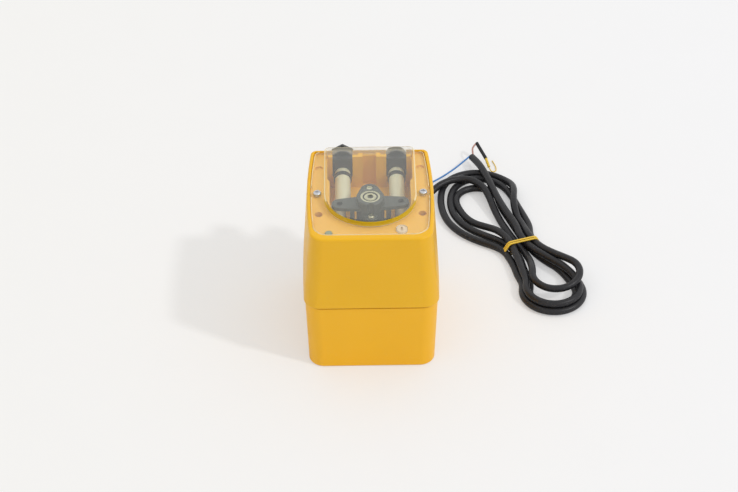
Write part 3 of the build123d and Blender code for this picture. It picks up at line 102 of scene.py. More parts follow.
# ---------------------------------------------------------------- stage, in metres
FLOOR_REACH = 4.0
FLOOR_DROP = 0.0002      # keeps the floor clear of what stands on it
BACKDROP_REACH = 0.35    # either way from the middle, over which the backdrop's tint changes

# ---------------------------------------------------------------- wear of the finishes
AGED = (0.72, 0.70, 0.66, 1)
DUST = (0.75, 0.74, 0.72, 1)
SMUDGED = (0.62, 0.61, 0.60, 1)
MERGE_WITHIN = 1e-6      # metres


def srgb(red, green, blue):
    """Linear colour of a screen colour given in 0 to 255."""
    def linear(value):
        share = value / 255
        return share / 12.92 if share <= 0.04045 else ((share + 0.055) / 1.055) ** 2.4
    return (linear(red), linear(green), linear(blue), 1.0)


# ================================================================ settings
def screen_colour(name, description, red, green, blue):
    """Colour setting whose default is a screen colour."""
    return FloatVectorProperty(name=name, description=description, subtype="COLOR", size=4, min=0, max=1,
                               default=srgb(red, green, blue))


class PumpColours(bpy.types.PropertyGroup):
    """Colours of the pump's finishes."""
    case: screen_colour("Front case yellow", "Moulded colour of the front housing", 240, 183, 12)
    # painted light: a little lighter than the front case's yellow, a lighter copy of the same plastic
    # standing in for the brighter light on the rear box
    rear_case: screen_colour("Rear case yellow", "Moulded colour of the rear box", 248, 186, 14)
    # painted reflection: laid over what lies behind and more opaque at a grazing view, this near-white stands
    # in for the surroundings that the clear cover reflects
    cover: screen_colour("Cover tint", "Tint of the clear cover", 250, 251, 246)
    # painted refraction: the yellow body seen through the dome's near wall, painted into the wall's colour
    cover_wall: screen_colour("Cover wall", "Yellow that the near wall of the dome picks up", 222, 190, 14)
    # painted sheen: cream light in the clear far wall, also used for the painted highlight along the dome's
    # edge
    cover_far_wall: screen_colour("Cover far wall", "Cream of the dome's far wall and edge", 252, 242, 200)
    # painted shade: the dark line at the dome's foot stands in for the shade in the crease where the dome
    # meets its flange
    cover_seam: screen_colour("Cover seam", "Dark line at the foot of the dome", 96, 78, 52)
    arms: screen_colour("Rotor grey", "Moulded colour of the rotor arms", 64, 69, 60)
    fittings: screen_colour("Fitting black", "Colour of nuts, clamps and gland", 44, 46, 48)
    hose: screen_colour("Hose cream", "Colour of the pump hose", 214, 211, 178)
    rollers: screen_colour("Roller white", "Colour of the rollers and light plastic", 232, 230, 220)
    steel: screen_colour("Steel", "Colour of screws, shafts and rings", 206, 208, 212)
    bearing: screen_colour("Bearing steel", "Colour of the bearing's rings", 204, 202, 168)
    shield: screen_colour("Shield black", "Ring on the bearing's shield", 40, 42, 42)
    # painted shade: the pins are near black to stand in for the shade in the recesses at the ends of the arms
    pins: screen_colour("Pin steel in painted shade", "Colour of the roller pins", 34, 34, 32)
    brass: screen_colour("Brass", "Colour of bushes, pinions and pillars", 206, 170, 96)
    plating: screen_colour("Plated steel", "Colour of plates, motor can and wheels", 178, 178, 172)
    rubber: screen_colour("Gasket black", "Colour of the gasket and the shaft seal", 34, 34, 35)
    jacket: screen_colour("Cable black", "Colour of the cable's jacket", 36, 36, 39)
    band: screen_colour("Band yellow", "Colour of the rubber band and the ferrule", 232, 194, 62)
    blue: screen_colour("Blue core", "Colour of the blue core", 62, 128, 196)
    brown: screen_colour("Brown core", "Colour of the brown core", 182, 134, 122)
    board: screen_colour("Board green", "Colour of the circuit board", 38, 92, 62)
    lamp: screen_colour("Lamp green", "Colour of the lamp's lens", 96, 148, 108)
    cap: screen_colour("Cap beige", "Colour of the trimmer's cap", 226, 207, 178)
    window: screen_colour("Lamp window", "Colour of the window over the lamp", 142, 154, 128)
    trimmer: screen_colour("Trimmer blue", "Colour of the trimmer's body", 52, 96, 168)


class CableSizes(bpy.types.PropertyGroup):
    """Sizes of the tied cable."""
    radius: FloatProperty(name="Jacket radius", description="Outer radius of the cable",
                          subtype="DISTANCE", unit="LENGTH", min=0.001, max=0.006, default=3.2 * MM)
    core_radius: FloatProperty(name="Core radius", description="Outer radius of one core",
                               subtype="DISTANCE", unit="LENGTH", min=0.0003, max=0.002, default=0.8 * MM)
    band_radius: FloatProperty(name="Band radius", description="Half thickness of the rubber band",
                               subtype="DISTANCE", unit="LENGTH", min=0.0003, max=0.002, default=0.8 * MM)


class StudioSettings(bpy.types.PropertyGroup):
    """Camera, light and floor."""
    lens: FloatProperty(name="Lens", description="Focal length", subtype="DISTANCE_CAMERA",
                        unit="CAMERA", min=10, max=300, default=97.56)
    camera_place: FloatVectorProperty(name="Camera", description="Where the camera stands",
                                      subtype="TRANSLATION", unit="LENGTH", size=3,
                                      default=(-12.56 * MM, -1288.42 * MM, 1118.14 * MM))
    camera_aim: FloatVectorProperty(name="Aim", description="Point in the middle of the view",
                                    subtype="TRANSLATION", unit="LENGTH", size=3,
                                    default=(-1.22 * MM, 10.5 * MM, 70 * MM))
    camera_roll: FloatProperty(name="Roll", description="Turn about the line of sight",
                               subtype="ANGLE", unit="ROTATION", default=radians(-0.45))
    horizon: FloatProperty(name="Horizon", description="Strength of the surround at floor level",
                           min=0, max=2, default=0.36)
    zenith: FloatProperty(name="Zenith", description="Strength of the surround overhead",
                          min=0, max=2, default=1.08)
    key: FloatProperty(name="Key light", description="Strength of the light from the right",
                       min=0, max=10, default=0.85)
    key_softness: FloatProperty(name="Key softness", description="Angle that the key light fills",
                                subtype="ANGLE", unit="ROTATION", min=0, max=pi, default=radians(4.5))
    key_from: FloatVectorProperty(name="Key direction", description="Where the key light comes from",
                                  subtype="DIRECTION", size=3, default=(0.644, -0.291, 0.707))
    backdrop: FloatProperty(name="Backdrop", description="How much the floor is seen as a plain backdrop",
                            subtype="FACTOR", min=0, max=1, default=0.4)
    floor: screen_colour("Floor", "Colour of the floor", 243, 242, 241)
    backdrop_left: screen_colour("Backdrop left", "Tint of the backdrop at the left", 242, 241, 237)
    backdrop_right: screen_colour("Backdrop right", "Tint of the backdrop at the right", 245, 246, 249)


# ================================================================ node helpers
def place(tree, kind, settings=(), **values):
    """New node with its settings and plain socket values."""
    node = tree.nodes.new(kind)
    for name, value in dict(settings).items():
        setattr(node, name, value)
    for name, value in values.items():
        node.inputs[name.replace("_", " ")].default_value = value
    return node


def shared_group(name, sockets, results):
    """Empty node group with its inputs and outputs, or None if it is there already."""
    if name in bpy.data.node_groups:
        return None
    group = bpy.data.node_groups.new(name, "ShaderNodeTree")
    for label, kind, value in sockets:
        socket = group.interface.new_socket(name=label, in_out="INPUT", socket_type=kind)
        socket.default_value = value
    for label, kind in results:
        group.interface.new_socket(name=label, in_out="OUTPUT", socket_type=kind)
    return group


def mix_colour(tree, blend, factor, first, second):
    """Colour mix node; each of the three is a socket or a plain value."""
    node = tree.nodes.new("ShaderNodeMix")
    node.data_type = "RGBA"
    node.blend_type = blend
    for index, source in ((0, factor), (6, first), (7, second)):
        if isinstance(source, bpy.types.NodeSocket):
            tree.links.new(source, node.inputs[index])
        else:
            node.inputs[index].default_value = source
    return node.outputs[2]


def spread(tree, source, low, high, to_low, to_high):
    """Map range node from a socket."""
    node = place(tree, "ShaderNodeMapRange", From_Min=low, From_Max=high, To_Min=to_low, To_Max=to_high)
    tree.links.new(source, node.inputs["Value"])
    return node.outputs["Result"]


def mask(tree, source, low, high):
    """Share that goes from 0 to 1 as a socket goes from low to high."""
    return spread(tree, source, low, high, 0.0, 1.0)


def calculate(tree, operation, first, second):
    """Math node; each input is a socket or a plain value."""
    node = place(tree, "ShaderNodeMath", {"operation": operation})
    for index, source in enumerate((first, second)):
        if isinstance(source, bpy.types.NodeSocket):
            tree.links.new(source, node.inputs[index])
        else:
            node.inputs[index].default_value = source
    return node.outputs[0]


def noise(tree, vector, scale, detail=3.0, roughness=0.5):
    """Noise texture on a vector; scale is a socket or a plain value."""
    node = place(tree, "ShaderNodeTexNoise", Detail=detail, Roughness=roughness)
    tree.links.new(vector, node.inputs["Vector"])
    if isinstance(scale, bpy.types.NodeSocket):
        tree.links.new(scale, node.inputs["Scale"])
    else:
        node.inputs["Scale"].default_value = scale
    return node.outputs["Fac"]


def moulded_surface():
    """Moulded plastic: fine grain, slow change of tone, dull patches and dust specks."""
    name = "Moulded Surface"
    group = shared_group(name, [
        ("Colour", "NodeSocketColor", (0.8, 0.8, 0.8, 1)), ("Tone", "NodeSocketFloat", 0.06),
        ("Grain Scale", "NodeSocketFloat", 1800.0), ("Grain Height", "NodeSocketFloat", 0.02),
        ("Roughness", "NodeSocketFloat", 0.4), ("Dust", "NodeSocketFloat", 0.1)],
        [("Colour", "NodeSocketColor"), ("Roughness", "NodeSocketFloat"), ("Normal", "NodeSocketVector")])
    if group is None:
        return bpy.data.node_groups[name]
    start = group.nodes.new("NodeGroupInput")
    end = group.nodes.new("NodeGroupOutput")
    where = group.nodes.new("ShaderNodeTexCoord").outputs["Object"]
    slow = noise(group, where, scale=22.0, detail=2.0)
    patches = noise(group, where, scale=160.0, detail=4.0, roughness=0.6)
    grain = noise(group, where, scale=start.outputs["Grain Scale"], detail=2.0, roughness=0.6)
    specks = noise(group, where, scale=1250.0, detail=1.0)
    shade = mask(group, slow, 0.3, 0.7)
    darker = mix_colour(group, "MULTIPLY", 1.0, start.outputs["Colour"], AGED)
    toned = mix_colour(group, "MIX", calculate(group, "MULTIPLY", shade, start.outputs["Tone"]),
                       start.outputs["Colour"], darker)
    dust = calculate(group, "MULTIPLY", mask(group, specks, 0.70, 0.76), start.outputs["Dust"])
    group.links.new(mix_colour(group, "MIX", dust, toned, DUST), end.inputs["Colour"])
    dull = calculate(group, "ADD", start.outputs["Roughness"], spread(group, patches, 0.3, 0.7, -0.05, 0.07))
    dusty = calculate(group, "MULTIPLY", dust, 0.3)
    group.links.new(calculate(group, "ADD", dull, dusty), end.inputs["Roughness"])
    bump = place(group, "ShaderNodeBump", Distance=0.0002)
    group.links.new(start.outputs["Grain Height"], bump.inputs["Strength"])
    group.links.new(grain, bump.inputs["Height"])
    group.links.new(bump.outputs["Normal"], end.inputs["Normal"])
    return group


def machined_metal():
    """Turned or rolled metal: streaks along one way, smudges and worn brightness."""
    name = "Machined Metal"
    group = shared_group(name, [
        ("Colour", "NodeSocketColor", (0.8, 0.8, 0.8, 1)), ("Streak Scale", "NodeSocketFloat", 900.0),
        ("Streak Height", "NodeSocketFloat", 0.05), ("Roughness", "NodeSocketFloat", 0.3),
        ("Smudge", "NodeSocketFloat", 0.25)],
        [("Colour", "NodeSocketColor"), ("Roughness", "NodeSocketFloat"), ("Normal", "NodeSocketVector")])
    if group is None:
        return bpy.data.node_groups[name]
    start = group.nodes.new("NodeGroupInput")
    end = group.nodes.new("NodeGroupOutput")
    where = group.nodes.new("ShaderNodeTexCoord").outputs["Object"]
    stretch = place(group, "ShaderNodeMapping", Scale=(0.15, 0.15, 2.2))
    group.links.new(where, stretch.inputs["Vector"])
    streaks = noise(group, stretch.outputs["Vector"], scale=start.outputs["Streak Scale"], roughness=0.6)
    smudges = noise(group, where, scale=260.0, detail=4.0, roughness=0.6)
    shade = calculate(group, "MULTIPLY", mask(group, smudges, 0.35, 0.7), start.outputs["Smudge"])
    darker = mix_colour(group, "MULTIPLY", 1.0, start.outputs["Colour"], SMUDGED)
    group.links.new(mix_colour(group, "MIX", shade, start.outputs["Colour"], darker), end.inputs["Colour"])
    dull = calculate(group, "ADD", start.outputs["Roughness"], calculate(group, "MULTIPLY", shade, 0.35))
    group.links.new(calculate(group, "ADD", dull, spread(group, streaks, 0.3, 0.7, -0.04, 0.06)),
                    end.inputs["Roughness"])
    bump = place(group, "ShaderNodeBump", Distance=0.00008)
    group.links.new(start.outputs["Streak Height"], bump.inputs["Strength"])
    group.links.new(streaks, bump.inputs["Height"])
    group.links.new(bump.outputs["Normal"], end.inputs["Normal"])
    return group


def finish(name, group, values, **plain):
    """Material that places a shared group in front of a Principled shader with plain values."""
    material = bpy.data.materials.get(name)
    if material:
        return material
    material = bpy.data.materials.new(name)
    material.use_nodes = True
    tree = material.node_tree
    shader = tree.nodes["Principled BSDF"]
    for label, value in plain.items():
        shader.inputs[label.replace("_", " ")].default_value = value
    node = tree.nodes.new("ShaderNodeGroup")
    node.node_tree = group
    for label, value in values.items():
        node.inputs[label].default_value = value
    tree.links.new(node.outputs["Colour"], shader.inputs["Base Color"])
    tree.links.new(node.outputs["Roughness"], shader.inputs["Roughness"])
    tree.links.new(node.outputs["Normal"], shader.inputs["Normal"])
    material.diffuse_color = values["Colour"]
    return material


def plastic(name, colour, roughness=0.4, tone=0.06, scale=1800.0, height=0.25, dust=0.1, **plain):
    """Moulded plastic or rubber; plain values go to the shader's own sockets."""
    return finish(name, moulded_surface(), {"Colour": tuple(colour), "Roughness": roughness, "Tone": tone,
                  "Grain Scale": scale, "Grain Height": height, "Dust": dust}, **plain)


def sheer_plastic(name, colour, facing, grazing):
    """See-through plastic; it hides more of what lies behind at a grazing view than seen straight on, so its
    colour paints the reflection and refraction a clear cover shows.
    """
    material = plastic(name, colour, roughness=0.08, tone=0.0, scale=140, height=0.02, dust=0.0)
    tree = material.node_tree
    view = place(tree, "ShaderNodeLayerWeight", Blend=0.25)
    hidden = spread(tree, view.outputs["Facing"], 0.0, 1.0, facing, grazing)
    tree.links.new(hidden, tree.nodes["Principled BSDF"].inputs["Alpha"])
    return material


def metal(name, colour, roughness=0.3, smudge=0.25):
    """Bare or plated metal with faint streaks."""
    return finish(name, machined_metal(), {"Colour": tuple(colour), "Roughness": roughness,
                  "Streak Height": 0.3, "Smudge": smudge}, Metallic=1.0)


def dress(material, *nodes):
    """Gives CAD nodes a material."""
    for name in nodes:
        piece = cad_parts[name]
        if not piece.material_slots:
            piece.data.materials.append(material)
        for slot in piece.material_slots:
            slot.material = material


# ================================================================ mesh and curve helpers
def mesh_piece(name, shape, material, body, smooth=True):
    """Finished mesh object from a bmesh, riding on a body."""
    bmesh.ops.remove_doubles(shape, verts=shape.verts, dist=MERGE_WITHIN)
    bmesh.ops.recalc_face_normals(shape, faces=shape.faces)
    mesh = bpy.data.meshes.new(name)
    shape.to_mesh(mesh)
    shape.free()
    for face in mesh.polygons:
        face.use_smooth = smooth
    mesh.materials.append(material)
    piece = bpy.data.objects.new(name, mesh)
    bpy.context.scene.collection.objects.link(piece)
    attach(piece, body)
    return piece


def turned(profile, start, way, segments=40, first=0.0):
    """Bmesh turned round the line from start along way; profile is (along, radius) pairs in millimetres."""
    shape = bmesh.new()
    rim = [shape.verts.new((radius * MM * cos(first), radius * MM * sin(first), along * MM))
           for along, radius in profile]
    edges = [shape.edges.new(pair) for pair in zip(rim, rim[1:])]
    bmesh.ops.spin(shape, geom=rim + edges, cent=(0, 0, 0), axis=(0, 0, 1), angle=2 * pi,
                   steps=segments, use_merge=True)
    bmesh.ops.remove_doubles(shape, verts=shape.verts, dist=MERGE_WITHIN)
    turn = way.to_track_quat("Z", "Y").to_matrix().to_4x4()
    bmesh.ops.transform(shape, matrix=Matrix.Translation(start * MM) @ turn, verts=shape.verts)
    return shape


def smooth_line(name, points, radius, material, closed=False, rings=6, steps=12):
    """Round bar along one NURBS spline whose control points are given in millimetres."""
    curve = bpy.data.curves.new(name, "CURVE")
    curve.dimensions = "3D"
    curve.resolution_u = steps
    curve.bevel_depth = radius
    curve.bevel_resolution = rings
    curve.use_fill_caps = not closed
    spline = curve.splines.new("NURBS")
    spline.points.add(len(points) - 1)
    for control, point in zip(spline.points, points):
        control.co = (*(value * MM for value in point), 1)
    spline.order_u = 3
    if closed:
        spline.use_cyclic_u = True
    else:
        spline.use_endpoint_u = True
    curve.materials.append(material)
    piece = bpy.data.objects.new(name, curve)
    bpy.context.scene.collection.objects.link(piece)
    return piece


def centre_line(cable):
    """Points along a curve's own spline, in order."""
    bare = cable.data.copy()
    bare.bevel_depth = 0
    line = bpy.data.objects.new("line", bare)
    mesh = bpy.data.meshes.new_from_object(line)
    points = [vertex.co.copy() for vertex in mesh.vertices]
    bpy.data.objects.remove(line)
    bpy.data.meshes.remove(mesh)
    bpy.data.curves.remove(bare)
    return points


def along(line, distance):
    """Place and direction at a distance along a line of points."""
    for first, second in zip(line, line[1:]):
        step = (second - first).length
        if distance <= step:
            return first.lerp(second, distance / step), (second - first).normalized()
        distance -= step
    raise ValueError("the line is shorter than the distance")


# ================================================================ cable route, in millimetres
FLOOR = 3.3          # centre of a strand on the floor
TIED = 4.2           # the same where the band runs under it
GROOVE = 9.0         # centre of a strand in the groove between two
OVER = 9.9           # centre of a strand on top of another
BAND_MIDDLE = (136.5, 86.5)
BAND_ACROSS = (0.9487, 0.3162)
BAND_ALONG = (0.3162, -0.9487)
GLAND_MOUTH = (25.0, 78.25, 22.0)
FREE_STRETCH = [GLAND_MOUTH, (25.5, 97.0, 20.0), (28.5, 116.0, 12.5), (34.5, 136.0, 5.2), (46.0, 155.0, 3.5)]
CUT_END = (97.5, 219.0, 7.0)
NEAR_MIDDLE = (157, 27)      # of the loops at the near end
BOW_POINTS = 9               # control points of one end loop
BAND_TURNS = 3
BAND_STEPS = 44              # control points of one turn of the band
BAND_DRIFT = 1.7             # how far its turns wander along the hank
BAND_LEAN = 0.9              # how far each turn leans
BAND_CLEARANCE = 0.1         # band to floor
BLUE_ROUTE = [(95.8, 219, 8.4), (86, 210, 5), (73, 199, 2.2), (59, 188, 1.2), (46, 179, 1)]
FERRULE_TAIL = [(113, 208, 3.4), (114, 205.3, 1.5), (116.3, 203.6, 0.7), (119.5, 205.5, 0.6),
                (119.8, 211, 0.6), (118.3, 217, 0.6), (116.8, 221.5, 0.6)]
TAIL_RADIUS = 0.5
# strands in the band: place across it and height
TIED_STRANDS = [(-15.4, TIED), (-8.7, TIED), (-2.0, TIED), (4.7, TIED), (11.4, TIED),
                (-12.1, OVER), (1.6, OVER), (8.6, OVER)]


def by_band(across, onwards, height):
    """Point given from the middle of the band."""
    return (BAND_MIDDLE[0] + across * BAND_ACROSS[0] + onwards * BAND_ALONG[0],
            BAND_MIDDLE[1] + across * BAND_ACROSS[1] + onwards * BAND_ALONG[1], height)


def bow(middle, radius, first, last, heights):
    """Control points of one end loop from angle to angle, with heights shared evenly along it."""
    points = []
    for number in range(BOW_POINTS):
        share = number / (BOW_POINTS - 1)
        angle = radians(first + (last - first) * share)
        step = share * (len(heights) - 1)
        index = min(int(step), len(heights) - 2)
        height = heights[index] + (heights[index + 1] - heights[index]) * (step - index)
        points.append((middle[0] + radius * cos(angle), middle[1] + radius * sin(angle), height))
    return points


def cable_route():
    """Route of the whole cable: to the floor, four turns through the band, and its cut end."""
    route = FREE_STRETCH + [(55, 164, 5.4), (64.5, 172.3, 9.9), (75, 179, 10.3), (87, 182, OVER),
                            (98, 178.3, OVER), (105.8, 168.3, OVER), (110.3, 155, 8), (113.8, 141, 5),
                            (118, 127, FLOOR), (123, 113, FLOOR), (128, 99.5, 3.6)]
    # first turn, on top at the near end
    route += [by_band(-2.0, 0, TIED), by_band(-2.4, 12, 5.4), by_band(-4.6, 25, 9.6)]
    route += bow((160.5, 40.5), 21, 160, 392, [12.4, 12, 12, 12, 12.5, 13.5, 15, 15.9, 15.9])
    route += [by_band(23.5, 35, 14), by_band(17.8, 23, 11.4), by_band(12, 11, 10), by_band(8.6, -2, OVER),
              by_band(8.6, -15, 9), (137.3, 117, 6.5), (133.5, 129, 5.5), (131.5, 140.5, 8.8),
              (131.4, 152, 10.8), (132.8, 163, 9.9), (132.5, 174.5, 7.4), (127.3, 185.5, 4.2),
              (117.5, 194.3, FLOOR), (103.3, 199.4, FLOOR), (89.5, 198, FLOOR), (76, 190.5, FLOOR),
              (68.7, 178.5, FLOOR), (66.2, 165, FLOOR), (65.8, 151, FLOOR), (67.6, 137, FLOOR),
              (72, 124, FLOOR), (79.5, 112.5, FLOOR), (89.5, 103, FLOOR), (100.5, 95.8, FLOOR),
              (111, 90.2, FLOOR), (118.8, 82.3, TIED),
              (123.3, 72.3, FLOOR), (126.5, 61, FLOOR), (128.3, 49.5, FLOOR)]
    # second turn, outermost on the floor
    route += bow(NEAR_MIDDLE, 26.9, 157, 383, [FLOOR, FLOOR])
    route += [by_band(25, 36, FLOOR), by_band(19, 23, FLOOR), by_band(14.2, 10, 3.7), by_band(11.6, -3, TIED),
              by_band(12.4, -16, 3.6), (143.9, 118.5, FLOOR), (140, 133, FLOOR), (135.6, 147, FLOOR),
              (131.6, 161.5, FLOOR), (125.7, 176, FLOOR), (114.5, 187.2, FLOOR), (101, 191, FLOOR),
              (88.3, 187, FLOOR), (79.4, 177, FLOOR), (75, 164, FLOOR), (74.3, 150, FLOOR),
              (76.5, 137, FLOOR), (82.3, 124.7, FLOOR), (91, 114.3, FLOOR), (101.5, 106.5, FLOOR),
              (112.5, 100.2, FLOOR), (121.7, 92.6, 3.5), (127.6, 83, TIED)]
    # third turn, inside on the floor
    route += [by_band(-8.6, 12, 3.6), by_band(-10.8, 25, FLOOR), by_band(-12.4, 38, FLOOR)]
    route += bow(NEAR_MIDDLE, 20.4, 155, 385, [FLOOR, FLOOR])
    route += [by_band(18.5, 37, FLOOR), by_band(11.8, 24, FLOOR), by_band(6.7, 11, 3.7),
              by_band(4.6, -3, TIED), by_band(3.8, -17, 3.5), (130.6, 116.5, FLOOR), (125.7, 131, FLOOR),
              (121, 144, FLOOR)]
    route += bow((99.2, 156.5), 19.7, -4, 186, [FLOOR, FLOOR])
    route += [(82.2, 143.5, FLOOR), (87.2, 132, FLOOR), (94.5, 122.5, 3.9), (104.5, 115, 6),
              (113.7, 107, 8.6), (120.7, 97, 9.8), (125.2, 85, 10.1), (127.9, 73.2, 9.6),
              (130.6, 61, 9.1), (132.6, 48.5, 9.1)]
    # fourth turn, in the groove, and the cut end over the far loops
    route += bow(NEAR_MIDDLE, 23.7, 157, 384, [GROOVE, GROOVE])
    route += [by_band(22.8, 49, 9.5), by_band(17.6, 37, OVER), by_band(10.9, 24, 10), by_band(4.8, 12, 10.2),
              by_band(1.6, 0, OVER), by_band(0.8, -12, OVER), (131.2, 112, 9.8), (125.7, 127, 9.7),
              (120.3, 142, 9.7), (115.9, 157, 9.8), (112.4, 172, 9.9), (108.9, 186, 10.1),
              (105.2, 199, 10), (101.2, 210, 8.8), CUT_END]
    return route


# ================================================================ operators
class PumpOperator:
    """Common ground of the pump's operators."""
    bl_options = {"REGISTER", "UNDO"}

    @classmethod
    def poll(cls, context):
        return context.scene is not None


class PUMP_OT_stage(PumpOperator, bpy.types.Operator):
    """Camera, pale floor and soft light"""
    bl_idname = "pump.stage"
    bl_label = "Set the stage"

    def execute(self, context):
        studio = context.scene.pump_studio
        view = bpy.data.cameras.new("view")
        view.lens = studio.lens
        view.sensor_width = 36
        view.clip_start = 0.01
        camera = bpy.data.objects.new("view", view)
        camera.location = studio.camera_place
        sight = Vector(studio.camera_aim) - Vector(studio.camera_place)
        camera.rotation_mode = "QUATERNION"
        roll = Quaternion((0, 0, 1), studio.camera_roll)
        camera.rotation_quaternion = sight.to_track_quat("-Z", "Y") @ roll
        context.scene.collection.objects.link(camera)
        context.scene.camera = camera
        context.scene.view_settings.view_transform = "Standard"
        self.floor(context, studio)
        self.surround(context, studio)
        self.lamp(context, studio)
        return {"FINISHED"}

    def floor(self, context, studio):
        """Wide flat floor under everything."""
        shape = bmesh.new()
        bmesh.ops.create_grid(shape, x_segments=2, y_segments=2, size=FLOOR_REACH)
        bmesh.ops.translate(shape, verts=shape.verts, vec=(0, 0, -FLOOR_DROP))
        mesh = bpy.data.meshes.new("floor")
        shape.to_mesh(mesh)
        shape.free()
        mesh.materials.append(self.floor_finish(studio))
        floor = bpy.data.objects.new("floor", mesh)
        context.scene.collection.objects.link(floor)

    def floor_finish(self, studio):
        """Pale paper; the camera sees it partly as a plain backdrop, cooler towards the right."""
        paper = plastic("pale floor", studio.floor, roughness=0.7, tone=0.02, scale=90, height=0.0, dust=0.0,
                        Specular_IOR_Level=0.15)
        tree = paper.node_tree
        where = tree.nodes.new("ShaderNodeTexCoord")
        split = tree.nodes.new("ShaderNodeSeparateXYZ")
        tree.links.new(where.outputs["Object"], split.inputs["Vector"])
        side = mask(tree, split.outputs["X"], -BACKDROP_REACH, BACKDROP_REACH)
        tint = mix_colour(tree, "MIX", side, tuple(studio.backdrop_left), tuple(studio.backdrop_right))
        glow = place(tree, "ShaderNodeEmission", Strength=1.0)
        tree.links.new(tint, glow.inputs["Color"])
        path = tree.nodes.new("ShaderNodeLightPath")
        share = calculate(tree, "MULTIPLY", path.outputs["Is Camera Ray"], studio.backdrop)
        choice = tree.nodes.new("ShaderNodeMixShader")
        tree.links.new(share, choice.inputs["Fac"])
        tree.links.new(tree.nodes["Principled BSDF"].outputs["BSDF"], choice.inputs[1])
        tree.links.new(glow.outputs["Emission"], choice.inputs[2])
        tree.links.new(choice.outputs["Shader"], tree.nodes["Material Output"].inputs["Surface"])
        return paper

    def surround(self, context, studio):
        """Soft light from all round, brighter overhead; the camera and mirrors see it plain white."""
        world = bpy.data.worlds.new("surround")
        context.scene.world = world
        world.use_nodes = True
        tree = world.node_tree
        sky = tree.nodes["Background"]
        sky.inputs["Color"].default_value = (1, 1, 1, 1)
        sight = tree.nodes.new("ShaderNodeTexCoord")
        split = tree.nodes.new("ShaderNodeSeparateXYZ")
        tree.links.new(sight.outputs["Generated"], split.inputs["Vector"])
        strength = spread(tree, split.outputs["Z"], 0.0, 1.0, studio.horizon, studio.zenith)
        tree.links.new(strength, sky.inputs["Strength"])
        bright = place(tree, "ShaderNodeBackground", Color=(1, 1, 1, 1), Strength=1.0)
        path = tree.nodes.new("ShaderNodeLightPath")
        seen = calculate(tree, "MAXIMUM", path.outputs["Is Camera Ray"], path.outputs["Is Glossy Ray"])
        seen = calculate(tree, "MAXIMUM", seen, path.outputs["Is Transmission Ray"])
        choice = tree.nodes.new("ShaderNodeMixShader")
        tree.links.new(seen, choice.inputs["Fac"])
        tree.links.new(sky.outputs["Background"], choice.inputs[1])
        tree.links.new(bright.outputs["Background"], choice.inputs[2])
        tree.links.new(choice.outputs["Shader"], tree.nodes["World Output"].inputs["Surface"])

    def lamp(self, context, studio):
        """Key light."""
        light = bpy.data.lights.new("key", "SUN")
        light.energy = studio.key
        light.angle = studio.key_softness
        lamp = bpy.data.objects.new("key", light)
        lamp.rotation_mode = "QUATERNION"
        lamp.rotation_quaternion = Vector(studio.key_from).to_track_quat("Z", "Y")
        context.scene.collection.objects.link(lamp)


class PUMP_OT_case(PumpOperator, bpy.types.Operator):
    """Yellow housings with their gasket"""
    bl_idname = "pump.case"
    bl_label = "Finish the case"

    def execute(self, context):
        colours = context.scene.pump_colours
        # the rear box's yellow is painted a little lighter than the front housing's to stand in for the
        # brighter light on it
        for name, colour, node in (("case yellow", colours.case, "front_housing"),
                                   ("rear case yellow", colours.rear_case, "rear_box")):
            dress(plastic(name, colour, roughness=0.36, tone=0.10, scale=2400, height=0.35, dust=0.12,
                          Subsurface_Weight=0.06, Subsurface_Radius=(0.004, 0.002, 0.0006),
                          Specular_IOR_Level=0.42), node)
        dress(plastic("gasket rubber", colours.rubber, roughness=0.7, tone=0.2), "seam_gasket", "shaft_seal")
        return {"FINISHED"}


